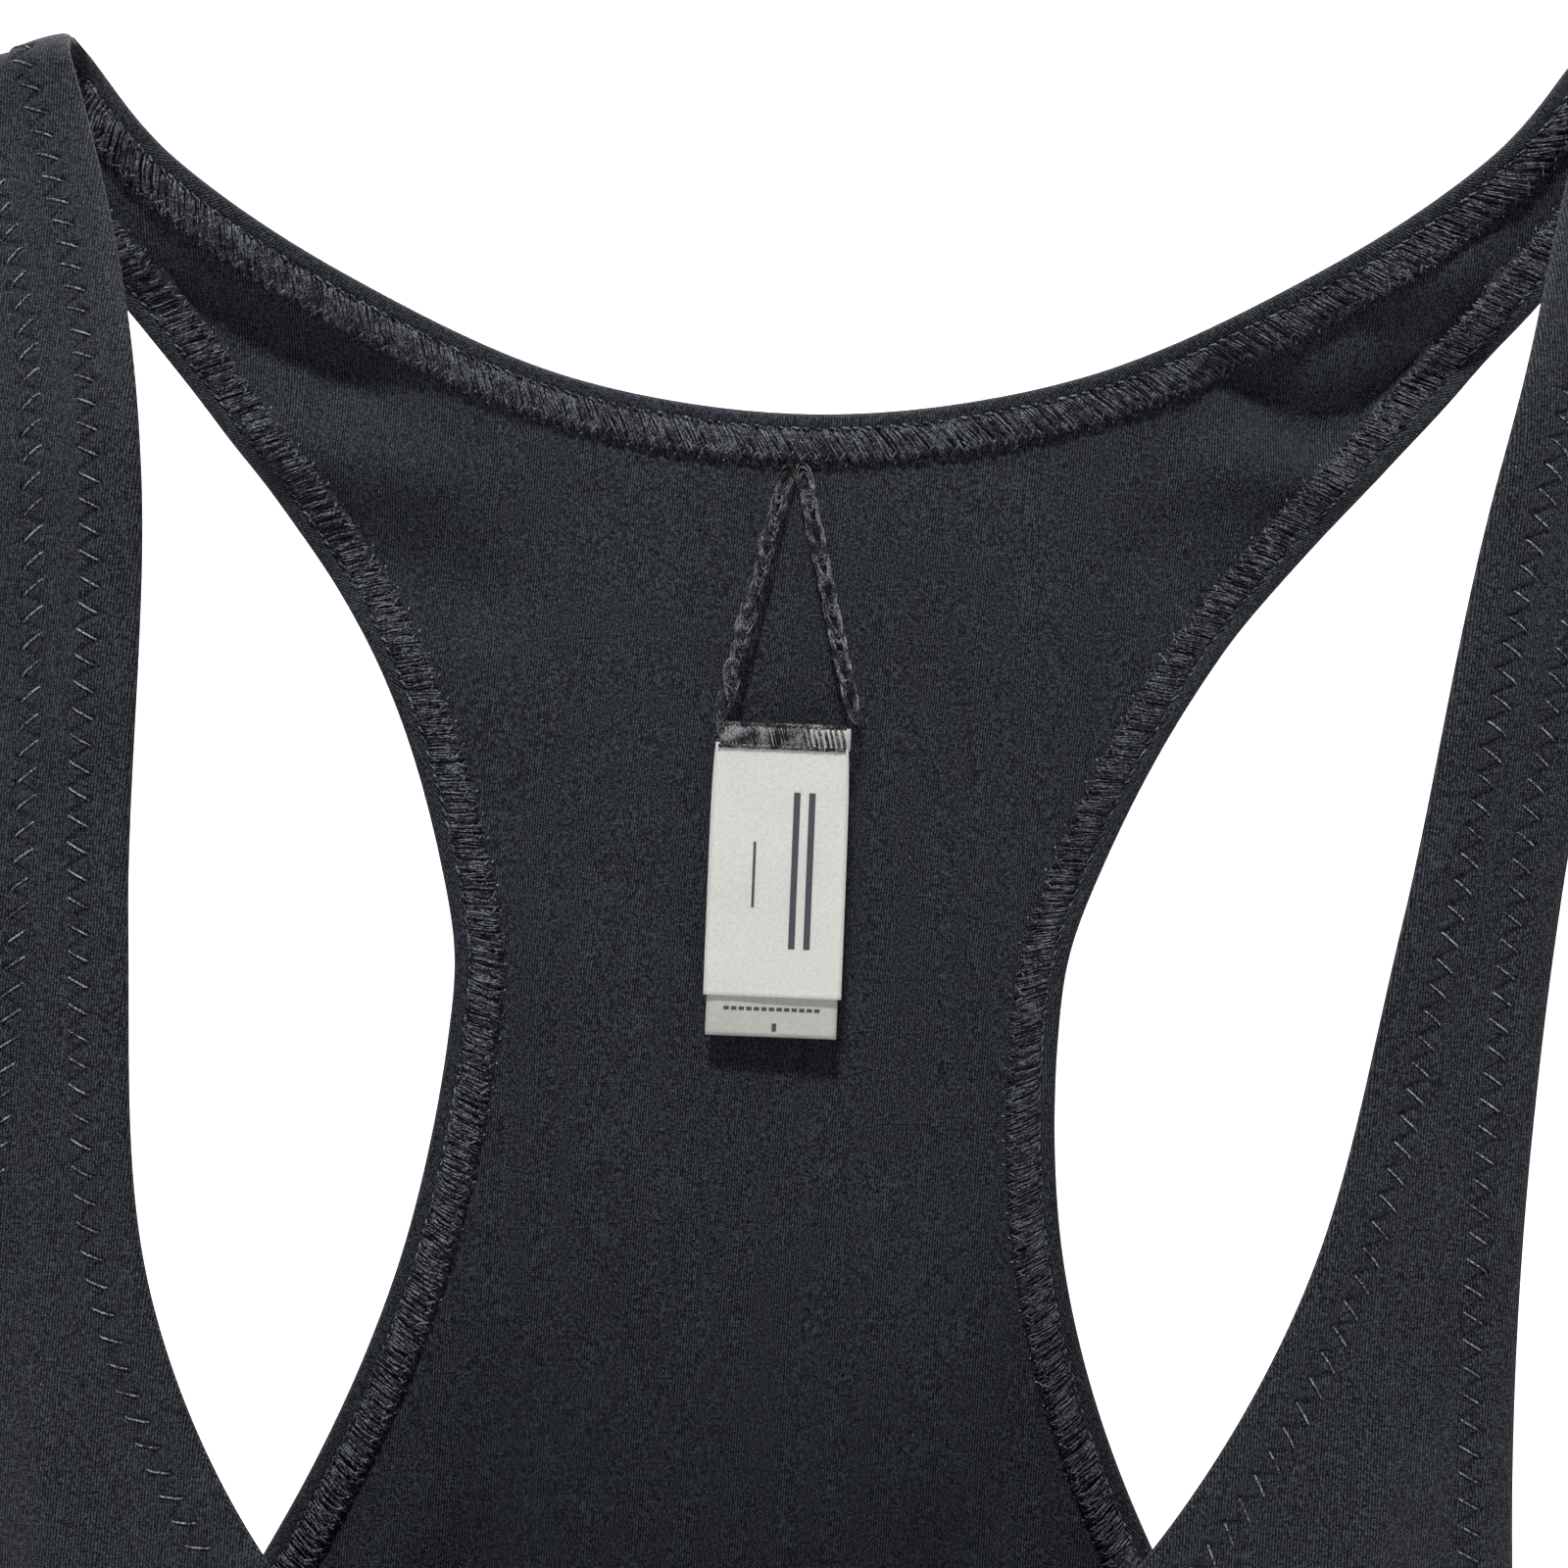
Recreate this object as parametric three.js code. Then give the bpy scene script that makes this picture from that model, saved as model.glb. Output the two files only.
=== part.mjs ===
// A gymnastics leotard, adult size L, hanging by its straps from the two arms of a hanger.
// Millimetres. +X is the wearer's left, -Y is the front and +Z is up. The origin is midway
// between the two shoulder folds, at their top, where the hanger carries the garment.
import * as THREE from "three";

// The empty garment hangs as a flat tube. These are half-widths and half-depths of that tube.
const SHOULDER_X = 156;
const SHOULDER_SLOPE = 0.25;
const FOLD_RADIUS = 8;
const STRAP_OPEN_OUT = 90;
const SHOULDER_WIDTH = 192;
const CHEST_DEPTH = 30;
const HIP_DEPTH = 26;
const BACK_NECK_Z = -62;
const FRONT_NECK_Z = -312;
const STRAP_TOP_Z = -150;
const UNDERARM = { x: 172, z: -352 };
const WAIST = { x: 157, z: -445 };
const HIP = { x: 166, z: -545 };
const CROTCH = { x: 37, z: -742 };
const CROTCH_RADIUS = 18;

// The body hangs a little to the wearer's right of the shoulders.
const LEAN = 34;
const LEAN_LENGTH = 250;
const LEAN_START = 20;

// Fabric, elastic and thread thicknesses, and the air between neighbouring layers.
const FABRIC = 1;
const ELASTIC = 0.7;
const THREAD_BAND = 0.8;
const LAYER_GAP = 0.5;
const SEAM_GAP = 0.4;
const HEM_WIDTH = 9.5;
const RIM_WIDTH = 2.7;

// Cut edges of the right-hand half of each panel, as (x, z) from the shoulder downwards.
const SHOULDER_INNER = [142, 3.5];
const SHOULDER_OUTER = [170, -3.5];
const BACK_NECK = [SHOULDER_INNER, [126, -16], [95, -36], [50, -55], [0, BACK_NECK_Z]];
const FRONT_NECK = [
  SHOULDER_INNER, [120, -75], [111.5, -160], [101, -224], [74, -274], [38, -303], [0, FRONT_NECK_Z],
];
const BACK_ARMHOLE = [
  SHOULDER_OUTER, [126, -57], [85.5, -109], [65, -156], [61, -187], [67, -234], [84.5, -281],
  [113, -327], [145, -348], [UNDERARM.x, UNDERARM.z],
];
const FRONT_ARMHOLE = [
  SHOULDER_OUTER, [151, -60], [141, -130], [139, -200], [142, -265], [149, -318], [158, -345],
  [UNDERARM.x, UNDERARM.z],
];
const BACK_LEG = [[HIP.x, HIP.z], [140, -592], [104, -645], [66, -697], [CROTCH.x, CROTCH.z]];
const FRONT_LEG = [[HIP.x, HIP.z], [122, -585], [82, -638], [52, -695], [CROTCH.x, CROTCH.z]];

// Rows of the panel mesh: they run from the shoulder fold to the crotch.
const BACK_NECK_ROW = 7;
const FRONT_NECK_ROW = 17;
const UNDERARM_ROW = 20;
const HIP_ROW = 26;
const CROTCH_ROW = 37;
const MIDDLE_COLUMNS = 6;
const CENTRE_REACH = 10;
const SIDE_REACH = 2;
const UNDERARM_ROW_CENTRE_Z = -390;
const FOLLOW_ARMHOLE = 0.6;
const HIP_ROW_CENTRE_Z = -560;
const HEM_TURN_LENGTH = 36;
const GUSSET_ROWS = 6;
const SHOULDER_SEAM_ROW = 2;

// Seams and lining stop short of the hems by this share of the strap or crotch width.
const CLEAR_OF_HEMS = 0.08;

// The label hangs inside the back on two thread chains that leave the neck hem side by side.
const CHAIN_TOP = { left: -5.7, right: -9, y: 27, z: -74 };
const CHAIN_BOTTOM = { left: 4.1, right: -21.8, y: 24, z: -121.8 };
const CHAIN_DIAMETER = 2.8;
const LABEL_TILT = THREE.MathUtils.degToRad(2.3);
const LABEL_TOP = new THREE.Vector3(-9.8, 24, -124.1);
const LABEL_HEAD = { width: 25, height: 4.5, depth: 2.4 };
const LEAF_DROP = 0.5;
const LEAF_THICKNESS = 0.4;
const LEAF_Y = 0.4;
const BACK_LEAF = { width: 26, length: 58 };
const FRONT_LEAF = { width: 27.3, length: 50 };

const BACK = 1;
const FRONT = -1;
const SIDES = { left: 1, right: -1 };
const { clamp, lerp, smoothstep } = THREE.MathUtils;

const shellFabric = { color: 0x262830, roughness: 0.8, metalness: 0 };
const elasticTape = { color: 0x1b1c20, roughness: 0.9, metalness: 0 };
const thread = { color: 0x303238, roughness: 0.85, metalness: 0 };
const liningCotton = { color: 0x2c2d33, roughness: 0.9, metalness: 0 };
const labelTape = { color: 0xdcddd6, roughness: 0.7, metalness: 0 };
const labelSatin = { color: 0xc9cac2, roughness: 0.6, metalness: 0 };

const garment = new THREE.Group();

function add(name, geometry, look, parent = garment) {
  const mesh = new THREE.Mesh(geometry, new THREE.MeshStandardMaterial(look));
  mesh.name = name;
  parent.add(mesh);
  return mesh;
}

// ---- The hanging surface ----

function halfWidth(z) {
  if (z > UNDERARM.z) return lerp(UNDERARM.x, SHOULDER_WIDTH, smoothstep(z, UNDERARM.z, STRAP_TOP_Z));
  if (z > WAIST.z) return lerp(WAIST.x, UNDERARM.x, smoothstep(z, WAIST.z, UNDERARM.z));
  return lerp(HIP.x, WAIST.x, smoothstep(z, HIP.z, WAIST.z));
}

// A quarter of a circle that rises from 0 to 1 over one radius.
function roundedEnd(distance, radius) {
  const rest = clamp(1 - distance / radius, 0, 1);
  return Math.sqrt(1 - rest * rest);
}

// How far the cloth stands from the middle plane: round over the hanger arm and under the
// crotch, and a flat tube between, whose sides turn round at the side seams.
function halfDepth(x, z) {
  const belowShoulder = SHOULDER_SLOPE * (SHOULDER_X - Math.abs(x)) - z;
  const open = smoothstep(belowShoulder, 0, STRAP_OPEN_OUT);
  const fold = FOLD_RADIUS * roundedEnd(belowShoulder, FOLD_RADIUS);
  const across = Math.min(1, Math.abs(x) / halfWidth(z));
  const tube = lerp(HIP_DEPTH, CHEST_DEPTH, smoothstep(z, HIP.z, UNDERARM.z)) * Math.sqrt(1 - across ** 3);
  return lerp(fold, tube, open) * roundedEnd(z - CROTCH.z, CROTCH_RADIUS);
}

function lean(z) {
  const below = BACK_NECK_Z - z;
  const started = (below + Math.hypot(below, LEAN_START)) / 2;
  return -LEAN * Math.tanh(started / LEAN_LENGTH);
}

// The square of the half-depth has a finite slope at every fold, so its gradient gives the
// outward normal there as well.
function outward(x, z, face) {
  const step = 0.02;
  const inX = x - Math.sign(x) * 2 * step;
  const inZ = clamp(z, CROTCH.z + 2 * step, SHOULDER_SLOPE * (SHOULDER_X - Math.abs(x)) - 2 * step);
  const square = (dx, dz) => halfDepth(inX + dx - lean(inZ + dz) + lean(inZ), inZ + dz) ** 2;
  const slopeX = (square(step, 0) - square(-step, 0)) / (2 * step);
  const slopeZ = (square(0, step) - square(0, -step)) / (2 * step);
  return new THREE.Vector3(-slopeX, 2 * face * halfDepth(x, z), -slopeZ).normalize();
}

// A point of the cloth: offset is measured outwards from the outer skin, and apart moves it
// away from the other panel.
function place({ x, z, face }, offset, apart = 0) {
  const skin = new THREE.Vector3(x + lean(z), face * (halfDepth(x, z) + apart), z);
  return skin.addScaledVector(outward(x, z, face), offset);
}

// ---- Sheets: triangles over (x, z, face) points, thickened into one closed solid ----

const area = (p, q, r) => Math.abs((q.x - p.x) * (r.z - p.z) - (r.x - p.x) * (q.z - p.z)) / 2;

// The diagonal that splits four corners into the fuller pair of triangles.
function fullerDiagonal(p, q, r, s) {
  const one = Math.min(area(p, q, r), area(p, r, s));
  const other = Math.min(area(q, r, s), area(q, s, p));
  return one > other ? "p to r" : "q to s";
}

class Sheet {
  constructor() {
    this.points = [];
    this.triangles = [];
    this.known = new Map();
  }

  point(p) {
    const folded = halfDepth(p.x, p.z) < 1e-6;
    const key = `${Math.round(p.x * 1e4)} ${Math.round(p.z * 1e4)} ${folded ? 0 : p.face}`;
    if (!this.known.has(key)) {
      this.known.set(key, this.points.length);
      this.points.push(p);
    }
    return this.known.get(key);
  }

  triangle(p, q, r) {
    const [a, b, c] = [p, q, r].map((corner) => this.point(corner));
    if (a === b || b === c || c === a) return;
    const [pa, pb, pc] = [p, q, r].map((corner) => place(corner, 0));
    const facing = pb.sub(pa).cross(pc.sub(pa));
    const normal = [p, q, r].reduce((sum, k) => sum.add(outward(k.x, k.z, k.face)), new THREE.Vector3());
    this.triangles.push(facing.dot(normal) > 0 ? [a, b, c] : [a, c, b]);
  }

  quad(p, q, r, s, diagonal = fullerDiagonal(p, q, r, s)) {
    const halves = diagonal === "p to r" ? [[p, q, r], [p, r, s]] : [[q, r, s], [q, s, p]];
    for (const half of halves) this.triangle(...half);
  }

  // Thickened from the offset `outer` to the offset `inner`, both measured inwards.
  solid(outer, inner, apart = 0) {
    const count = this.points.length;
    const position = [outer, inner].flatMap((depth) =>
      this.points.flatMap((p) => place(p, -depth, apart).toArray()));
    const edges = new Set(this.triangles.flatMap(([a, b, c]) => [`${a} ${b}`, `${b} ${c}`, `${c} ${a}`]));
    const index = this.triangles.flatMap(([a, b, c]) => [a, b, c, a + count, c + count, b + count]);
    for (const edge of edges) {
      const [a, b] = edge.split(" ").map(Number);
      if (!edges.has(`${b} ${a}`)) index.push(b, a, a + count, b, a + count, b + count);
    }
    const geometry = new THREE.BufferGeometry();
    geometry.setAttribute("position", new THREE.Float32BufferAttribute(position, 3));
    geometry.setIndex(index);
    geometry.computeVertexNormals();
    return geometry;
  }
}

// ---- Stations: each row's edge point and hem point, on the half with x >= 0 ----

const point = (x, z, face) => ({ x: Math.min(x, halfWidth(z)), z, face });
const onSideSeam = (p) => halfWidth(p.z) - Math.abs(p.x) < 1e-6;

// A point part of the way from p to q, which stays on the side seam if both of them are on it.
function between(p, q, t) {
  const z = lerp(p.z, q.z, t);
  if (onSideSeam(p) && onSideSeam(q)) return { x: Math.sign(p.x) * halfWidth(z), z, face: p.face };
  return point(lerp(p.x, q.x, t), z, p.face);
}

const mirrored = (p, side) => ({ ...p, x: side * p.x });
const easeBoth = (t) => (1 - Math.cos(Math.PI * t)) / 2;
const easeStart = (t) => 1 - Math.cos((Math.PI / 2) * t);
const easeEnd = (t) => Math.sin((Math.PI / 2) * t);

// Edge and hem points along one cut edge. The hem runs square to the edge, and turns to the
// given directions at the seams where two panels meet. inwards is the side the cloth is on.
function hemmedEdge(knots, rows, ease, face, inwards, firstDirection, lastDirection) {
  const curve = new THREE.SplineCurve(knots.map(([x, z]) => new THREE.Vector2(x, z)));
  const length = curve.getLength();
  return Array.from({ length: rows + 1 }, (_, row) => {
    const along = ease(row / rows);
    const at = curve.getPointAt(along);
    const tangent = curve.getTangentAt(along);
    const direction = new THREE.Vector2(-tangent.y, tangent.x).multiplyScalar(inwards);
    direction.lerp(firstDirection, 1 - smoothstep(along * length, 0, HEM_TURN_LENGTH));
    direction.lerp(lastDirection, 1 - smoothstep((1 - along) * length, 0, HEM_TURN_LENGTH));
    const hem = at.clone().addScaledVector(direction.normalize(), HEM_WIDTH);
    return { edge: point(at.x, at.y, face), hem: point(hem.x, hem.y, face) };
  });
}

// Ends of rows on the centre line or the side seam, where there is no hem. The second point of
// such a row lies `reach` further along it.
function unhemmed(firstRow, lastRow, height, edgeX, reach, face) {
  return Array.from({ length: lastRow - firstRow + 1 }, (_, index) => {
    const z = height(firstRow + index);
    return { edge: point(edgeX(z), z, face), reach };
  });
}

function withSecondPoint(station, opposite) {
  if (station.hem) return station;
  const target = opposite.hem ?? opposite.edge;
  const length = Math.hypot(target.x - station.edge.x, target.z - station.edge.z);
  return { edge: station.edge, hem: between(station.edge, target, station.reach / length) };
}

function panelRows(face, neckKnots, neckRow, armholeKnots, legKnots) {
  const shoulder = new THREE.Vector2(...SHOULDER_OUTER).sub(new THREE.Vector2(...SHOULDER_INNER));
  const outwards = shoulder.normalize();
  const inwards = outwards.clone().negate();
  const down = new THREE.Vector2(0, -1);
  const up = new THREE.Vector2(0, 1);
  const toCentre = new THREE.Vector2(-1, 0);
  const neck = hemmedEdge(neckKnots, neckRow, easeStart, face, 1, outwards, down);
  const armhole = hemmedEdge(armholeKnots, UNDERARM_ROW, easeBoth, face, -1, inwards, down);
  const leg = hemmedEdge(legKnots, CROTCH_ROW - HIP_ROW, easeBoth, face, -1, up, toCentre);

  const centreTop = neckKnots.at(-1)[1] - HEM_WIDTH;
  const centreHeight = (row) => {
    if (row <= UNDERARM_ROW) {
      const even = (row - neckRow - 1) / (UNDERARM_ROW - neckRow - 1);
      const first = armhole[neckRow + 1].edge.z;
      const level = (armhole[row].edge.z - first) / (UNDERARM.z - first);
      return lerp(centreTop, UNDERARM_ROW_CENTRE_Z, lerp(even, level, FOLLOW_ARMHOLE));
    }
    if (row <= HIP_ROW) {
      const along = (row - UNDERARM_ROW) / (HIP_ROW - UNDERARM_ROW);
      return lerp(UNDERARM_ROW_CENTRE_Z, HIP_ROW_CENTRE_Z, along);
    }
    return lerp(HIP_ROW_CENTRE_Z, CROTCH.z, easeEnd((row - HIP_ROW) / (CROTCH_ROW - HIP_ROW)));
  };
  const centre = unhemmed(neckRow + 1, CROTCH_ROW, centreHeight, () => 0, CENTRE_REACH, face);

  const sideHeight = (row) => {
    const along = (row - UNDERARM_ROW - 1) / (HIP_ROW - UNDERARM_ROW - 2);
    return lerp(UNDERARM.z - HEM_WIDTH, HIP.z + HEM_WIDTH, along);
  };
  const side = unhemmed(UNDERARM_ROW + 1, HIP_ROW - 1, sideHeight, halfWidth, SIDE_REACH, face);

  const inner = [...neck, ...centre];
  const outer = [...armhole, ...side, ...leg];
  return inner.map((station, row) => ({
    inner: withSecondPoint(station, outer[row]),
    outer: withSecondPoint(outer[row], station),
  }));
}

const backRows = panelRows(BACK, BACK_NECK, BACK_NECK_ROW, BACK_ARMHOLE, BACK_LEG);
const frontRows = panelRows(FRONT, FRONT_NECK, FRONT_NECK_ROW, FRONT_ARMHOLE, FRONT_LEG);

// ---- Panels ----

// The points of one row from its inner edge to its outer edge.
function columns({ inner, outer }) {
  const middle = Array.from({ length: MIDDLE_COLUMNS + 1 }, (_, column) =>
    between(inner.hem, outer.hem, easeEnd(column / MIDDLE_COLUMNS)));
  return [inner.edge, ...middle, outer.edge];
}

// Where a hem ends in a seam, the hem's own end is the first stretch of the seam line.
function panel(rows, neckRow) {
  const sheet = new Sheet();
  const lastColumn = MIDDLE_COLUMNS + 1;
  for (const side of Object.values(SIDES)) {
    const grid = rows.map((row) => columns(row).map((p) => mirrored(p, side)));
    for (let row = 0; row < CROTCH_ROW; row += 1) {
      const firstColumn = row === neckRow ? 1 : 0;
      const cornerRow = row === UNDERARM_ROW || row === HIP_ROW - 1;
      for (let column = firstColumn; column <= lastColumn - (cornerRow ? 1 : 0); column += 1) {
        const [p, q] = [grid[row][column], grid[row][column + 1]];
        const [s, r] = [grid[row + 1][column], grid[row + 1][column + 1]];
        sheet.quad(p, q, r, s);
      }
    }
  }
  return sheet.solid(0, FABRIC, SEAM_GAP / 2);
}

add("back_panel", panel(backRows, BACK_NECK_ROW), shellFabric);
add("front_panel", panel(frontRows, FRONT_NECK_ROW), shellFabric);

// ---- Hems: an elastic and a band of overlock thread round every opening ----

const elasticTop = FABRIC + LAYER_GAP;
const bandTop = elasticTop + ELASTIC + LAYER_GAP;
const liningTop = bandTop;

function strip(loop, from, top, thickness) {
  const sheet = new Sheet();
  for (let i = 0; i + 1 < loop.length; i += 1) {
    const [a, b] = [loop[i], loop[i + 1]];
    const [rimA, rimB] = [a, b].map((station) => between(station.edge, station.hem, from));
    sheet.quad(rimA, a.hem, b.hem, rimB, fullerDiagonal(a.edge, a.hem, b.hem, b.edge));
  }
  return sheet.solid(top, top + thickness);
}

function hem(name, loop) {
  add(`${name}_elastic`, strip(loop, 0, elasticTop, ELASTIC), elasticTape);
  add(`${name}_overlock`, strip(loop, RIM_WIDTH / HEM_WIDTH, bandTop, THREAD_BAND), thread);
}

const mirroredStation = ({ edge, hem: line }, side) => ({
  edge: mirrored(edge, side),
  hem: mirrored(line, side),
});

// The stations of one edge of a panel, between two rows, on one side of the body.
function stations(rows, edge, side, firstRow, lastRow) {
  return rows.slice(firstRow, lastRow + 1).map((row) => mirroredStation(row[edge], side));
}

hem("neck", [
  ...stations(backRows, "inner", SIDES.left, 0, BACK_NECK_ROW),
  ...stations(backRows, "inner", SIDES.right, 0, BACK_NECK_ROW).reverse(),
  ...stations(frontRows, "inner", SIDES.right, 0, FRONT_NECK_ROW),
  ...stations(frontRows, "inner", SIDES.left, 0, FRONT_NECK_ROW).reverse(),
]);

for (const [name, side] of Object.entries(SIDES)) {
  hem(`armhole_${name}`, [
    ...stations(backRows, "outer", side, 0, UNDERARM_ROW),
    ...stations(frontRows, "outer", side, 0, UNDERARM_ROW).reverse(),
  ]);
  hem(`leg_${name}`, [
    ...stations(backRows, "outer", side, HIP_ROW, CROTCH_ROW),
    ...stations(frontRows, "outer", side, HIP_ROW, CROTCH_ROW).reverse(),
  ]);
}

// ---- Seam allowances and the crotch lining ----

// A patch of cloth over rows of points, each row in the same order.
function patch(grid, top, thickness) {
  const sheet = new Sheet();
  for (let row = 0; row + 1 < grid.length; row += 1) {
    for (let column = 0; column + 1 < grid[row].length; column += 1) {
      const [p, q] = [grid[row][column], grid[row][column + 1]];
      const [s, r] = [grid[row + 1][column], grid[row + 1][column + 1]];
      sheet.quad(p, q, r, s);
    }
  }
  return sheet.solid(top, top + thickness);
}

// Back rows down to a fold, then front rows up from it.
function overFold(foldRow, firstRow, cross) {
  const back = backRows.slice(Math.min(foldRow, firstRow), Math.max(foldRow, firstRow) + 1);
  const front = frontRows.slice(Math.min(foldRow, firstRow), Math.max(foldRow, firstRow) + 1);
  if (foldRow < firstRow) back.reverse();
  else front.reverse();
  return [...back, ...front.slice(1)].map(cross);
}

for (const [name, side] of Object.entries(SIDES)) {
  const acrossStrap = ({ inner, outer }) => [CLEAR_OF_HEMS, 1 - CLEAR_OF_HEMS].map((t) =>
    mirrored(between(inner.hem, outer.hem, t), side));
  const shoulder = overFold(0, SHOULDER_SEAM_ROW, acrossStrap);
  add(`shoulder_seam_${name}`, patch(shoulder, elasticTop, ELASTIC), thread);

  const sideSeam = backRows.slice(UNDERARM_ROW + 1, HIP_ROW).map(({ outer }, row) => {
    const front = frontRows[UNDERARM_ROW + 1 + row].outer;
    return [outer.hem, outer.edge, front.hem].map((p) => mirrored(p, side));
  });
  add(`side_seam_${name}`, patch(sideSeam, elasticTop, ELASTIC), thread);
}

const acrossCrotch = ({ inner, outer }) => {
  const edge = between(inner.edge, outer.hem, 1 - CLEAR_OF_HEMS);
  return [mirrored(edge, SIDES.right), inner.edge, edge];
};
add("crotch_seam", patch(overFold(CROTCH_ROW, CROTCH_ROW - 1, acrossCrotch), elasticTop, ELASTIC), thread);
const gusset = overFold(CROTCH_ROW, CROTCH_ROW - GUSSET_ROWS, acrossCrotch);
add("gusset_lining", patch(gusset, liningTop, THREAD_BAND), liningCotton);

// ---- Label and the thread chains it hangs on ----

function rod(from, to, diameter) {
  const along = to.clone().sub(from);
  const geometry = new THREE.CylinderGeometry(diameter / 2, diameter / 2, along.length(), 8);
  const turn = new THREE.Quaternion().setFromUnitVectors(new THREE.Vector3(0, 1, 0), along.normalize());
  geometry.applyQuaternion(turn);
  geometry.translate(...from.clone().add(to).divideScalar(2).toArray());
  return geometry;
}

for (const name of Object.keys(SIDES)) {
  const top = new THREE.Vector3(CHAIN_TOP[name], CHAIN_TOP.y, CHAIN_TOP.z);
  const bottom = new THREE.Vector3(CHAIN_BOTTOM[name], CHAIN_BOTTOM.y, CHAIN_BOTTOM.z);
  add(`label_chain_${name}`, rod(top, bottom, CHAIN_DIAMETER), thread);
}

const label = new THREE.Group();
label.position.copy(LABEL_TOP);
label.rotation.y = LABEL_TILT;
garment.add(label);

const head = add(
  "label_head",
  new THREE.BoxGeometry(LABEL_HEAD.width, LABEL_HEAD.depth, LABEL_HEAD.height),
  thread,
  label,
);
head.position.z = -LABEL_HEAD.height / 2;

function leaf(name, { width, length }, y, look) {
  const mesh = add(name, new THREE.BoxGeometry(width, LEAF_THICKNESS, length), look, label);
  mesh.position.set(0, y, -LABEL_HEAD.height - LEAF_DROP - length / 2);
}

leaf("label_back_leaf", BACK_LEAF, LEAF_Y, labelTape);
leaf("label_front_leaf", FRONT_LEAF, -LEAF_Y, labelSatin);

export default garment;
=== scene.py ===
import math

import bpy
import numpy as np
from mathutils.geometry import delaunay_2d_cdt
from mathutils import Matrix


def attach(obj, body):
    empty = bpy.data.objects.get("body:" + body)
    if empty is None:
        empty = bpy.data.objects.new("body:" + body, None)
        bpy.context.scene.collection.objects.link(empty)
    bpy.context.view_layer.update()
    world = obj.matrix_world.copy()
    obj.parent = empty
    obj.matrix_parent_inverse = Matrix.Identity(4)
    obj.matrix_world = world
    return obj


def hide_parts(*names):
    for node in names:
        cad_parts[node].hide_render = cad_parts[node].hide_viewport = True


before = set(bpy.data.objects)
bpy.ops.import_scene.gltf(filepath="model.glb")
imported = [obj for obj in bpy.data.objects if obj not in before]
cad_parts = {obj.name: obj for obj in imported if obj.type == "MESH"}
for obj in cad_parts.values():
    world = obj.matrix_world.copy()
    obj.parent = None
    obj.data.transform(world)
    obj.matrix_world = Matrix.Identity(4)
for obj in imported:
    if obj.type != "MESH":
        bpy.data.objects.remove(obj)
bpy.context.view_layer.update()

# ---- Camera ----
# It looks straight at the inside of the racerback through the front neckline.

CAMERA_AT = (-0.0096, -0.401, -0.136)
BACK_PANEL_Y = 0.029
HALF_VIEW = 0.157
camera_data = bpy.data.cameras.new("camera")
camera_data.lens = camera_data.sensor_width / 2 * (BACK_PANEL_Y - CAMERA_AT[1]) / HALF_VIEW
camera_data.clip_start = 0.01
camera = bpy.data.objects.new("camera", camera_data)
camera.location = CAMERA_AT
camera.rotation_euler = (math.radians(90), 0, 0)
bpy.context.scene.collection.objects.link(camera)
bpy.context.scene.camera = camera

# ---- Floor, backdrop and studio light ----
# A pale sweep of paper runs from the floor up behind the garment, under soft boxes.

FLOOR_Z = -0.8
BACKDROP_Y = 1.8
SWEEP_RADIUS = 0.4
STAGE_HALF_WIDTH = 5.0
STAGE_FRONT_Y = -3.0
STAGE_TOP_Z = 2.4
SWEEP_POINTS = 13
WORLD_STRENGTH = 0.08


class Value:
    """A number on a shader socket, with arithmetic that adds Math nodes."""

    def __init__(self, finish, socket):
        self.finish = finish
        self.socket = socket

    def maths(self, operation, *numbers):
        sockets = dict(enumerate(numbers))
        return self.finish.node("ShaderNodeMath", {"operation": operation}, sockets)

    def __add__(self, other):
        return self.maths("ADD", self, other)

    def __radd__(self, other):
        return self.maths("ADD", other, self)

    def __sub__(self, other):
        return self.maths("SUBTRACT", self, other)

    def __rsub__(self, other):
        return self.maths("SUBTRACT", other, self)

    def __mul__(self, other):
        return self.maths("MULTIPLY", self, other)

    def cos(self):
        return self.maths("COSINE", self)

    def above(self, limit):
        return self.maths("GREATER_THAN", self, limit)

    def clamped(self):
        return self.maths("MINIMUM", self.maths("MAXIMUM", self, 0.0), 1.0)


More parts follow.
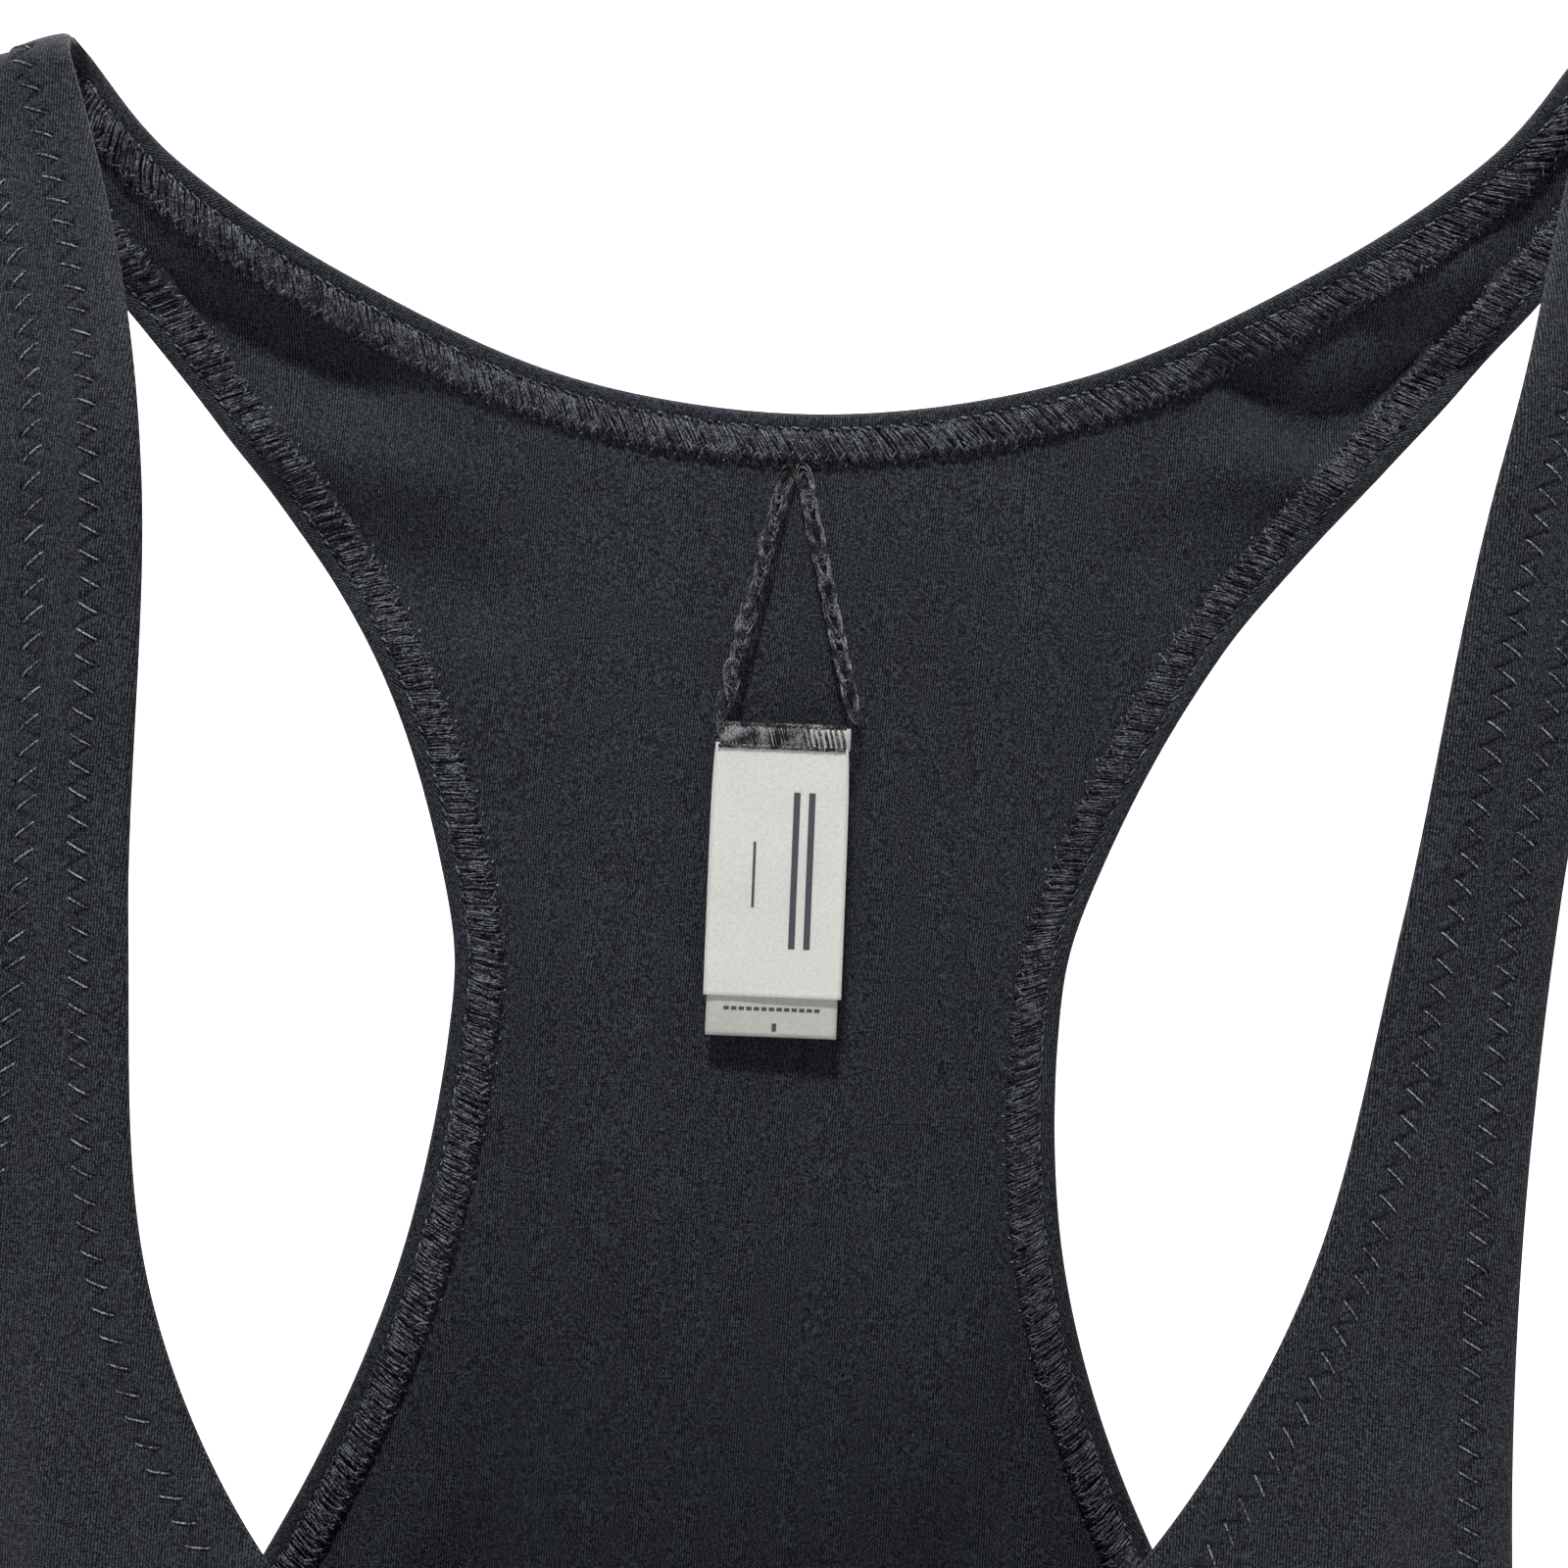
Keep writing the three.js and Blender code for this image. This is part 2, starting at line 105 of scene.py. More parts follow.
class Finish:
    """One material: its Principled shader, and one way to add every other node."""

    def __init__(self, name, roughness, **uniform):
        self.material = bpy.data.materials.new(name)
        self.material.use_nodes = True
        self.tree = self.material.node_tree
        self.shader = self.tree.nodes["Principled BSDF"]
        self.shader.inputs["Roughness"].default_value = roughness
        for socket, value in uniform.items():
            self.shader.inputs[socket.replace("_", " ")].default_value = value

    def node(self, kind, settings, sockets, output=0):
        made = self.tree.nodes.new(kind)
        for name, value in settings.items():
            setattr(made, name, value)
        for name, value in sockets.items():
            if isinstance(value, Value):
                self.tree.links.new(value.socket, made.inputs[name])
            else:
                made.inputs[name].default_value = value
        return Value(self, made.outputs[output])

    def drive(self, socket, value):
        self.tree.links.new(value.socket, self.shader.inputs[socket])

    def mix(self, mask, first, second):
        colours = {0: mask, 6: first, 7: second}
        return self.node("ShaderNodeMix", {"data_type": "RGBA"}, colours, 2)

    def position(self):
        return self.node("ShaderNodeTexCoord", {}, {}, "Object")

    def axis(self, vector, name):
        return self.node("ShaderNodeSeparateXYZ", {}, {"Vector": vector}, name)

    def noise(self, vector, scale, detail, roughness):
        sockets = {"Vector": vector, "Scale": scale, "Detail": detail, "Roughness": roughness}
        return self.node("ShaderNodeTexNoise", {}, sockets, "Fac")

    def coat(self, light, dark, bright, roughness, grain, spread):
        self.drive("Base Color", self.mix(light, dark, bright))
        self.drive("Roughness", roughness + grain * spread)

    def bump(self, height, distance, strength):
        sockets = {"Height": height, "Distance": distance, "Strength": strength}
        self.drive("Normal", self.node("ShaderNodeBump", {}, sockets, "Normal"))


def linear(red, green, blue):
    """The linear colour of an 0 to 255 screen colour."""
    def part(level):
        share = level / 255
        return share / 12.92 if share <= 0.04045 else ((share + 0.055) / 1.055) ** 2.4
    return (part(red), part(green), part(blue), 1.0)


def mesh_piece(name, vertices, *face_arrays):
    """A smooth mesh; each face array holds faces with the same number of corners."""
    face_arrays = [np.asarray(faces, int) for faces in face_arrays]
    corners = np.concatenate([faces.ravel() for faces in face_arrays])
    sizes = np.concatenate([np.full(len(faces), faces.shape[1]) for faces in face_arrays])
    mesh = bpy.data.meshes.new(name)
    mesh.vertices.add(len(vertices))
    mesh.vertices.foreach_set("co", np.asarray(vertices, float).ravel())
    mesh.loops.add(len(corners))
    mesh.loops.foreach_set("vertex_index", corners)
    mesh.polygons.add(len(sizes))
    mesh.polygons.foreach_set("loop_start", np.r_[0, np.cumsum(sizes)[:-1]])
    mesh.update(calc_edges=True)
    mesh.validate()
    mesh.polygons.foreach_set("use_smooth", [True] * len(mesh.polygons))
    piece = bpy.data.objects.new(name, mesh)
    bpy.context.scene.collection.objects.link(piece)
    return piece


def sheet_faces(rows, columns, close_rows=False, close_columns=False):
    """Quads over a grid of rows by columns vertices."""
    down = np.arange(rows if close_rows else rows - 1)[:, None]
    along = np.arange(columns if close_columns else columns - 1)[None, :]
    next_row, next_column = (down + 1) % rows, (along + 1) % columns
    corners = [down * columns + along, down * columns + next_column,
               next_row * columns + next_column, next_row * columns + along]
    shape = (len(down), along.shape[1])
    return np.stack([np.broadcast_to(c, shape) for c in corners], -1).reshape(-1, 4)


sweep = [(STAGE_FRONT_Y, FLOOR_Z)]
for turn in np.linspace(0, math.pi / 2, SWEEP_POINTS):
    sweep_y = BACKDROP_Y - SWEEP_RADIUS + SWEEP_RADIUS * math.sin(turn)
    sweep.append((sweep_y, FLOOR_Z + SWEEP_RADIUS * (1 - math.cos(turn))))
sweep.append((BACKDROP_Y, STAGE_TOP_Z))
stage_points = [(x, y, z) for y, z in sweep for x in (-STAGE_HALF_WIDTH, STAGE_HALF_WIDTH)]
floor = mesh_piece("floor", stage_points, sheet_faces(len(sweep), 2))
paper = Finish("backdrop paper", 0.9)
paper.shader.inputs["Base Color"].default_value = (0.95, 0.95, 0.945, 1)
floor.data.materials.append(paper.material)


def soft_box(name, at, aim, size, power):
    lamp = bpy.data.lights.new(name, "AREA")
    lamp.shape = "DISK"
    lamp.size = size
    lamp.energy = power
    holder = bpy.data.objects.new(name, lamp)
    holder.location = at
    bpy.context.scene.collection.objects.link(holder)
    direction = np.subtract(aim, at)
    pitch = math.acos(-direction[2] / np.linalg.norm(direction))
    holder.rotation_euler = (pitch, 0, math.atan2(direction[0], -direction[1]) + math.pi)


soft_box("key", (-0.12, -0.95, 1.25), (0, 0, -0.2), 0.22, 42)
soft_box("fill", (1.3, -1.2, 0.1), (0, 0, -0.3), 1.2, 2.5)
soft_box("back fill", (-1.2, 0.5, 0.6), (0, 0, -0.3), 0.8, 4.5)
soft_box("backdrop wash", (0, 0.8, 2.1), (0, BACKDROP_Y, 0), 1.8, 100)
world = bpy.data.worlds.new("studio")
world.use_nodes = True
world.node_tree.nodes["Background"].inputs["Color"].default_value = (1, 1, 1, 1)
world.node_tree.nodes["Background"].inputs["Strength"].default_value = WORLD_STRENGTH
bpy.context.scene.world = world
bpy.context.scene.view_settings.view_transform = "Standard"

# ---- Back and front panels ----
# Each is one piece of nylon and elastane warp knit, cut to its outline and sewn to the other
# at the shoulders, sides and crotch. Sizes here are in millimetres.

MM = 0.001
SHOULDER_X = 156
SHOULDER_SLOPE = 0.25
FOLD_RADIUS = 8
STRAP_OPEN_OUT = 90
SHOULDER_WIDTH = 192
CHEST_DEPTH = 30
HIP_DEPTH = 26
BACK_NECK_Z = -62
STRAP_TOP_Z = -150
UNDERARM_X, UNDERARM_Z = 172, -352
WAIST_X, WAIST_Z = 157, -445
HIP_X, HIP_Z = 166, -545
CROTCH_X, CROTCH_Z = 37, -742
CROTCH_RADIUS = 18
LEAN, LEAN_LENGTH, LEAN_START = 34, 250, 20
FABRIC = 0.6
BACK, FRONT = 1, -1

SHOULDER_INNER = (142, 3.5)
SHOULDER_OUTER = (170, -3.5)
BACK_NECK = [SHOULDER_INNER, (126, -16), (95, -36), (50, -55), (0, -62)]
FRONT_NECK = [SHOULDER_INNER, (120, -75), (111.5, -160), (101, -224), (74, -274), (38, -303), (0, -312)]
BACK_ARMHOLE = [
    SHOULDER_OUTER, (126, -57), (85.5, -109), (65, -156), (61, -187), (67, -234), (84.5, -281),
    (113, -327), (145, -348), (UNDERARM_X, UNDERARM_Z),
]
FRONT_ARMHOLE = [
    SHOULDER_OUTER, (151, -60), (141, -130), (139, -200), (142, -265), (149, -318), (158, -345),
    (UNDERARM_X, UNDERARM_Z),
]
BACK_LEG = [(HIP_X, HIP_Z), (140, -592), (104, -645), (66, -697), (CROTCH_X, CROTCH_Z)]
FRONT_LEG = [(HIP_X, HIP_Z), (122, -585), (82, -638), (52, -695), (CROTCH_X, CROTCH_Z)]


def smooth_step(value, low, high):
    t = np.clip((value - low) / (high - low), 0, 1)
    return t * t * (3 - 2 * t)


def half_width(z):
    chest = UNDERARM_X + (SHOULDER_WIDTH - UNDERARM_X) * smooth_step(z, UNDERARM_Z, STRAP_TOP_Z)
    waist = WAIST_X + (UNDERARM_X - WAIST_X) * smooth_step(z, WAIST_Z, UNDERARM_Z)
    hip = HIP_X + (WAIST_X - HIP_X) * smooth_step(z, HIP_Z, WAIST_Z)
    return np.where(z > UNDERARM_Z, chest, np.where(z > WAIST_Z, waist, hip))


def rounded_end(distance, radius):
    rest = np.clip(1 - distance / radius, 0, 1)
    return np.sqrt(1 - rest * rest)


def below_shoulder(x, z):
    return SHOULDER_SLOPE * (SHOULDER_X - np.abs(x)) - z


def half_depth(x, z):
    """How far the cloth stands from the middle plane of the hanging garment."""
    fold = FOLD_RADIUS * rounded_end(below_shoulder(x, z), FOLD_RADIUS)
    across = np.minimum(1, np.abs(x) / half_width(z))
    depth = HIP_DEPTH + (CHEST_DEPTH - HIP_DEPTH) * smooth_step(z, HIP_Z, UNDERARM_Z)
    tube = depth * np.sqrt(1 - across ** 3)
    open_out = smooth_step(below_shoulder(x, z), 0, STRAP_OPEN_OUT)
    return (fold + (tube - fold) * open_out) * rounded_end(z - CROTCH_Z, CROTCH_RADIUS)


def lean(z):
    below = BACK_NECK_Z - z
    return -LEAN * np.tanh((below + np.hypot(below, LEAN_START)) / 2 / LEAN_LENGTH)


def outward(x, z, face):
    """The outward normal, from the square of the half-depth, whose slope is finite at the folds."""
    step = 0.02
    in_x = x - np.sign(x) * 2 * step
    in_z = np.clip(z, CROTCH_Z + 2 * step, SHOULDER_SLOPE * (SHOULDER_X - np.abs(x)) - 2 * step)

    def square(dx, dz):
        return half_depth(in_x + dx - lean(in_z + dz) + lean(in_z), in_z + dz) ** 2

    slope_x = (square(step, 0) - square(-step, 0)) / (2 * step)
    slope_z = (square(0, step) - square(0, -step)) / (2 * step)
    normal = np.stack([-slope_x, 2 * face * half_depth(x, z), -slope_z], -1)
    return normal / np.maximum(np.linalg.norm(normal, axis=-1, keepdims=True), 1e-9)


# Soft folds of each panel: both ends (x, z), half-width across, and height outwards.
FOLDS = {
    BACK: [
        ((-134, -40), (-88, -58), 6, 4.6), ((-120, -66), (-74, -76), 7, -4.6),
        ((-98, -88), (-60, -100), 9, 3.4),
        ((78, -52), (98, -66), 5, 4.4), ((98, -66), (130, -50), 5, 4.4), ((76, -72), (112, -78), 6, -4.6),
        ((66, -84), (90, -108), 9, 3.0), ((108, -40), (128, -34), 5, -3.0),
        ((46, -300), (40, -430), 8, 5.0), ((62, -300), (66, -430), 8, -4.0),
        ((-46, -275), (-56, -430), 9, 4.6), ((-62, -290), (-84, -420), 9, -4.0),
        ((-8, -380), (6, -560), 18, -3.0), ((60, -440), (40, -620), 16, 3.2),
        ((-80, -440), (-52, -610), 16, 3.0), ((-120, -470), (-60, -520), 12, -2.4),
        ((24, -110), (36, -230), 18, 1.6), ((-30, -120), (-22, -260), 20, -1.6),
        ((6, -190), (4, -330), 18, 1.2),
    ],
    FRONT: [
        ((118, -250), (96, -360), 9, 3.0), ((-118, -250), (-98, -360), 9, 3.0),
        ((30, -330), (48, -470), 16, 3.2), ((-36, -330), (-50, -500), 16, 3.0),
        ((0, -420), (8, -640), 18, -3.0), ((110, -430), (60, -560), 14, -2.6),
        ((-112, -440), (-60, -600), 14, 2.6), ((128, -60), (124, -150), 7, 1.6),
        ((-128, -60), (-124, -150), 7, 1.6),
    ],
}


def relief(x, z, face):
    height = np.zeros(np.broadcast(x, z).shape)
    for side in (BACK, FRONT):
        for (x0, z0), (x1, z1), spread, rise in FOLDS[side]:
            length = math.hypot(x1 - x0, z1 - z0)
            ux, uz = (x1 - x0) / length, (z1 - z0) / length
            along = ((x - x0) * ux + (z - z0) * uz) / length
            across = (z - z0) * ux - (x - x0) * uz
            ends = smooth_step(along, -0.25, 0.25) * (1 - smooth_step(along, 0.75, 1.25))
            height = height + (1 + face * side) / 2 * rise * ends * np.exp(-(across / spread) ** 2)
    return height


def place(x, z, face, depth):
    """Points of the cloth in metres. depth is measured inwards from the outer skin."""
    x, z, face, depth = np.broadcast_arrays(*(np.asarray(v, float) for v in (x, z, face, depth)))
    x = np.clip(x, -half_width(z), half_width(z))
    skin = np.stack([x + lean(z), face * half_depth(x, z), z], -1)
    lift = relief(x, z, face) * smooth_step(half_depth(x, z), 2, 14)
    return (skin + outward(x, z, face) * (lift - depth)[..., None]) * MM


SPAN_STEPS = 40


def curve_through(knots, spacing):
    """Evenly spaced points on the smooth curve through the knots."""
    knots = np.array(knots, float)
    padded = np.vstack([knots[:1], knots, knots[-1:]])
    t = np.linspace(0, 1, SPAN_STEPS + 1)[:-1, None]
    spans = []
    for a, b, c, d in zip(padded, padded[1:], padded[2:], padded[3:]):
        v0, v1 = (c - a) / 2, (d - b) / 2
        cubic = 2 * b - 2 * c + v0 + v1
        square = -3 * b + 3 * c - 2 * v0 - v1
        spans.append(cubic * t ** 3 + square * t ** 2 + v0 * t + b)
    dense = np.vstack(spans + [knots[-1:]])
    run = np.r_[0, np.cumsum(np.linalg.norm(np.diff(dense, axis=0), axis=1))]
    count = max(2, round(run[-1] / spacing) + 1)
    even = np.linspace(0, run[-1], count)
    return np.stack([np.interp(even, run, dense[:, k]) for k in (0, 1)], -1)


OUTLINE_SPACING = 2.4
CLOTH_SPACING = 3.4
EDGE_CLEARANCE = 1.6


def both_halves(knots):
    return [(-x, z) for x, z in knots] + knots[::-1][1:]


def panel_outline(neck, armhole, leg):
    sides = np.linspace(UNDERARM_Z, HIP_Z, 60)
    side = np.stack([half_width(sides), sides], -1)
    shoulder = np.linspace(SHOULDER_INNER, SHOULDER_OUTER, 10)
    crotch = np.linspace((CROTCH_X, CROTCH_Z), (0, CROTCH_Z), 14)
    whole_neck = curve_through(both_halves(neck), OUTLINE_SPACING)
    half_neck = np.vstack([(0, neck[-1][1]), whole_neck[whole_neck[:, 0] > OUTLINE_SPACING / 2]])
    half = np.vstack([
        half_neck[:-1], shoulder[:-1],
        curve_through(armhole, OUTLINE_SPACING)[:-1], side[:-1],
        curve_through(leg, OUTLINE_SPACING)[:-1], crotch,
    ])
    other_half = half[1:-1][::-1] * (-1, 1)
    return np.vstack([half, other_half])


def inside(points, outline):
    x, z = points[:, :1], points[:, 1:]
    x0, z0 = outline[:, 0], outline[:, 1]
    x1, z1 = np.roll(x0, -1), np.roll(z0, -1)
    crossing = (z0 > z) != (z1 > z)
    at = x0 + (z - z0) * (x1 - x0) / np.where(z1 == z0, 1e-9, z1 - z0)
    return (crossing & (x < at)).sum(1) % 2 == 1


def even_rows(heights, spacing):
    """Points at even steps round the garment, in rows at the given heights."""
    rows = []
    for number, z in enumerate(heights):
        x = half_width(z) * np.sin(np.linspace(0, math.pi / 2, 200)) ** 0.8
        y = half_depth(x, z)
        run = np.r_[0, np.cumsum(np.hypot(np.diff(x), np.diff(y)))]
        at = np.interp(np.arange(spacing * (0.5 if number % 2 else 1), run[-1], spacing), run, x)
        rows.append(np.stack([np.r_[-at[::-1], at], np.full(2 * len(at), z)], -1))
    return np.vstack(rows)


def cloth_points(outline, spacing):
    """The outline and even points inside it, closer together over the two folds."""
    bottom = CROTCH_Z + CROTCH_RADIUS * (1 - np.cos(np.radians([15, 30, 45, 60, 75])))
    heights = np.r_[np.arange(-4, CROTCH_Z + CROTCH_RADIUS, -spacing), bottom]
    points = even_rows(heights, spacing)
    points = points[below_shoulder(points[:, 0], points[:, 1]) > FOLD_RADIUS]
    strap = np.arange(SHOULDER_INNER[0] - 12, SHOULDER_OUTER[0] + 6, spacing * 0.8)
    for turn in np.radians([14, 28, 42, 56, 70, 84]):
        z = SHOULDER_SLOPE * (SHOULDER_X - strap) - FOLD_RADIUS * (1 - math.cos(turn))
        for side in (1, -1):
            points = np.vstack([points, np.stack([side * strap, z], -1)])
    points = points[inside(points, outline)]
    away = points[:, None] - outline[None]
    gap = np.min(np.hypot(away[..., 0], away[..., 1]), 1)
    return points[gap > EDGE_CLEARANCE]


def panel_triangles(outline, spacing):
    points = np.vstack([outline, cloth_points(outline, spacing)])
    ring = list(range(len(outline)))
    edges = list(zip(ring, ring[1:] + ring[:1]))
    found = delaunay_2d_cdt(points.tolist(), edges, [ring], 1, 1e-4)
    return np.array(found[0]), np.array([f for f in found[2] if len(f) == 3])


def boundary_edges(triangles):
    edges = triangles[:, [0, 1, 1, 2, 2, 0]].reshape(-1, 2)
    known = {tuple(e) for e in edges.tolist()}
    return np.array([e for e in edges.tolist() if (e[1], e[0]) not in known])


def cut_map(piece, across, down):
    """A map in metres over the flat cut: across the wales, and down them."""
    layer = piece.data.uv_layers.new(name="cut")
    corner = np.empty(len(piece.data.loops), int)
    piece.data.loops.foreach_get("vertex_index", corner)
    layer.data.foreach_set("uv", np.stack([across[corner], down[corner]], -1).ravel())


def sewn_panel(name, face, outline):
    flat, triangles = panel_triangles(outline, CLOTH_SPACING)
    p, q, r = (flat[triangles[:, k]] for k in (0, 1, 2))
    turning = (q - p)[:, 0] * (r - p)[:, 1] - (q - p)[:, 1] * (r - p)[:, 0]
    triangles = np.where((turning * face < 0)[:, None], triangles, triangles[:, ::-1])
    count = len(flat)
    points = np.vstack([place(flat[:, 0], flat[:, 1], face, depth) for depth in (0, FABRIC)])
    rim = boundary_edges(triangles)
    walls = np.stack([rim[:, 1], rim[:, 0], rim[:, 0] + count, rim[:, 1] + count], -1)
    piece = mesh_piece(name, points, triangles, triangles[:, ::-1] + count, walls)
    cut_map(piece, np.tile(flat[:, 0], 2) * MM, np.tile(flat[:, 1], 2) * MM)
    return piece


WALE = 0.00053
COURSE = 0.00052
FULL_TURN = 2 * math.pi


def knit(finish):
    """The height of a warp knit's loops over the flat cut, from -1 to 1."""
    chart = finish.node("ShaderNodeUVMap", {"uv_map": "cut"}, {})
    across = finish.axis(chart, "X")
    down = finish.axis(chart, "Y")
    wales = (across * (FULL_TURN / WALE)).cos()
    loops = (across * (FULL_TURN / WALE) + down * (FULL_TURN / COURSE)).cos()
    return wales * 0.55 + loops * 0.45


def painted_glints(finish, spacing, size, share):
    """Painted glints: sparse light dots of a given size, in a share of the cells of a random grid."""
    sockets = {"Vector": finish.position(), "Scale": 1 / spacing}
    far = finish.node("ShaderNodeTexVoronoi", {}, sockets, "Distance")
    pick = finish.node("ShaderNodeTexVoronoi", {}, sockets, "Color")
    return (size / spacing - far).above(0.0) * finish.axis(pick, "X").above(1 - share)


def shell_fabric():
    finish = Finish("shell fabric", 0.6, Sheen_Weight=0.03, Sheen_Roughness=0.5, Specular_IOR_Level=0.1)
    at = finish.position()
    height = knit(finish)
    yarn = finish.noise(at, 2100, 2, 0.6)
    patches = finish.noise(at, 30, 3, 0.55)
    # The colour rises with the knit loops' height: painted shade between the loops. The fine yarn noise
    # lightens it too, partly the yarn's own tone and partly painted glints.
    light = (height * 0.6 + yarn * 2.8 - 1.2 + (patches - 0.5) * 0.18).clamped()
    cloth = finish.mix(light, linear(2, 2, 4), linear(68, 73, 82))
    # Sparse light grey specks on the cloth: painted glints.
    glint_specks = painted_glints(finish, 0.006, 0.00016, 0.4)
    finish.drive("Base Color", finish.mix(glint_specks, cloth, linear(112, 112, 118)))
    finish.drive("Roughness", 0.58 + yarn * 0.2)
    finish.bump(height * 0.5 + yarn, 0.00014, 1.0)
    return finish.material


shell = shell_fabric()
PANEL_CUTS = {
    "back_panel": (BACK, panel_outline(BACK_NECK, BACK_ARMHOLE, BACK_LEG)),
    "front_panel": (FRONT, panel_outline(FRONT_NECK, FRONT_ARMHOLE, FRONT_LEG)),
}
for node, (face, outline) in PANEL_CUTS.items():
    panel = sewn_panel(node + "_cloth", face, outline)
    panel.data.materials.append(shell)
    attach(panel, "garment")
    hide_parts(node)


# ---- Turned hems ----
# Round the neck, the armholes and the legs the cloth is turned to the inside over a swim
# elastic. The turned edge shows inside as a plain rim, and outside as a soft raised strip.

HEM_STEP = 0.5
WALK_STEP = 0.4
HEM_REACH = 12
PROBE = 0.2
SMALLEST_REACH = 0.6
TURN_LENGTH = 36
TOPSTITCH_AT = 8.6
TOPSTITCH_WIDTH = 3.6
TOPSTITCH_PITCH = 4.65
GROOVE_WIDTH, PUFF_WIDTH, PUFF_HEIGHT = 0.5, 1.1, 0.2
HOLE_RADIUS, HOLE_DEPTH = 0.55, 0.9

# The knots of each edge on the back and on the front, and the way in at its start and end.
EDGES = {
    "neck": (both_halves(BACK_NECK), both_halves(FRONT_NECK), (-1, -SHOULDER_SLOPE), (1, -SHOULDER_SLOPE)),
    "armhole": (BACK_ARMHOLE, FRONT_ARMHOLE, (-1, SHOULDER_SLOPE), (0, -1)),
    "leg": (BACK_LEG, FRONT_LEG, (0, 1), (-1, 0)),
}


def skin(x, z, face):
    x = np.clip(x, -half_width(z), half_width(z))
    return np.stack([x + lean(z), face * half_depth(x, z), z], -1)


def rows_into(x, z, face, dx, dz):
    """Pattern points at an edge, then in rows WALK_STEP apart on the cloth, going in from it."""
    rows = [np.stack([x, z], -1)]
    for _ in range(round(HEM_REACH / WALK_STEP)):
        probed = skin(x + dx * PROBE, z + dz * PROBE, face) - skin(x, z, face)
        reach = np.linalg.norm(probed, axis=-1)
        step = WALK_STEP / np.maximum(reach / PROBE, SMALLEST_REACH)
        x, z = x + dx * step, z + dz * step
        x = np.clip(x, -half_width(z), half_width(z))
        rows.append(np.stack([x, z], -1))
    return np.array(rows)


def between_rows(rows, one, two, share, into):
    """Pattern points between columns one and two of the rows, at distances into the cloth."""
    row = np.clip(into, 0, HEM_REACH - 1e-6) / WALK_STEP
    low = np.floor(row).astype(int)
    rise = (row - low)[..., None]
    near = rows[low, one] * (1 - share) + rows[low, two] * share
    far = rows[low + 1, one] * (1 - share) + rows[low + 1, two] * share
    return near * (1 - rise) + far * rise


def edge(knots, face, start, end):
    """A cut edge, clockwise round its panel: points, face, and the way into the cloth.

    At a fold the way in turns along it, start and end giving that direction.
    """
    flat = curve_through(knots, 0.05)
    along = (1 - np.cos(np.linspace(0, math.pi, len(flat)))) / 2 * (len(flat) - 1)
    flat = np.stack([np.interp(along, np.arange(len(flat)), flat[:, k]) for k in (0, 1)], -1)
    tangent = np.gradient(flat, axis=0)
    inwards = np.stack([tangent[:, 1], -tangent[:, 0]], -1)
    inwards /= np.maximum(np.linalg.norm(inwards, axis=1, keepdims=True), 1e-12)
    for corner, direction in ((flat[0], start), (flat[-1], end)):
        gap = np.linalg.norm(flat - corner, axis=1)
        turn = (1 - smooth_step(gap, 0, TURN_LENGTH))[:, None]
        inwards = inwards * (1 - turn) + np.array(direction) / math.hypot(*direction) * turn
    inwards /= np.linalg.norm(inwards, axis=1, keepdims=True)
    return np.column_stack([flat, np.full(len(flat), face), inwards])


class Hem:
    """A closed edge of the garment, with even steps along it and measured steps into the cloth."""

    def __init__(self, kind, side=1):
        back_knots, front_knots, start, end = EDGES[kind]
        back, front = edge(back_knots, BACK, start, end), edge(front_knots, FRONT, start, end)
        loop = np.vstack([back, front[::-1]]) * (side, 1, 1, side, 1)
        spots = skin(loop[:, 0], loop[:, 1], loop[:, 2])
        gaps = np.linalg.norm(np.diff(spots, axis=0, append=spots[:1]), axis=1)
        run = np.r_[0, np.cumsum(gaps)]
        loop = np.vstack([loop, loop[:1]])
        self.length = run[-1]
        self.count = round(self.length / HEM_STEP)
        even = np.arange(self.count) * self.length / self.count
        x, z, self.face, dx, dz = (np.interp(even, run, loop[:, k]) for k in range(5))
        self.rows = rows_into(x, z, self.face, dx, dz)

    def pattern(self, along, into):
        """Flat pattern points and face at distances along the edge and into the cloth."""
        along, into = np.broadcast_arrays(np.asarray(along, float), np.asarray(into, float))
        column = along / self.length * self.count
        first = np.floor(column).astype(int)
        share = (column - first)[..., None]
        one, two = first % self.count, (first + 1) % self.count
        flat = between_rows(self.rows, one, two, share, into)
        step = self.rows[1, one] - self.rows[0, one]
        flat = flat + step / WALK_STEP * np.minimum(into, 0)[..., None]
        face = self.face[one] * (1 - share[..., 0]) + self.face[two] * share[..., 0]
        return flat[..., 0], flat[..., 1], face

    def points(self, along, into, depth):
        return place(*self.pattern(along, into), depth)


HEMS = {"neck": Hem("neck")}
for side_name, side in (("left", 1), ("right", -1)):
    for kind in ("armhole", "leg"):
        HEMS[f"{kind}_{side_name}"] = Hem(kind, side)


def zigzag(along, pitch):
    """The topstitch's distance from its own middle line, from -1 to 1."""
    return 4 * np.abs(along / pitch - np.floor(along / pitch) - 0.5) - 1


# The hem's section: distance into the cloth, depth, and the distance along the turned cloth.
HEM_SECTION = [
    (11.4, 0.35, 11.4), (11.0, 0.0, 11.0), (10.6, -0.06, 10.6), (10.2, -0.1, 10.2), (9.8, -0.14, 9.8),
    (9.4, -0.17, 9.4), (9.0, -0.2, 9.0), (8.6, -0.22, 8.6), (8.2, -0.24, 8.2), (7.8, -0.27, 7.8),
    (7.4, -0.3, 7.4), (7.0, -0.33, 7.0), (6.6, -0.36, 6.6), (6.0, -0.4, 6.0), (5.0, -0.44, 5.0),
    (3.6, -0.45, 3.6), (2.2, -0.4, 2.2), (1.1, -0.28, 1.1), (0.4, -0.02, 0.4), (0.05, 0.4, -0.1),
    (-0.1, 0.9, -0.6), (0.05, 1.45, -1.1), (0.45, 1.9, -1.7), (1.1, 2.15, -2.4), (1.9, 2.2, -3.2),
    (2.7, 2.1, -4.0), (3.3, 1.8, -4.7), (3.5, 1.3, -5.2), (3.5, 0.4, -6.0),
]


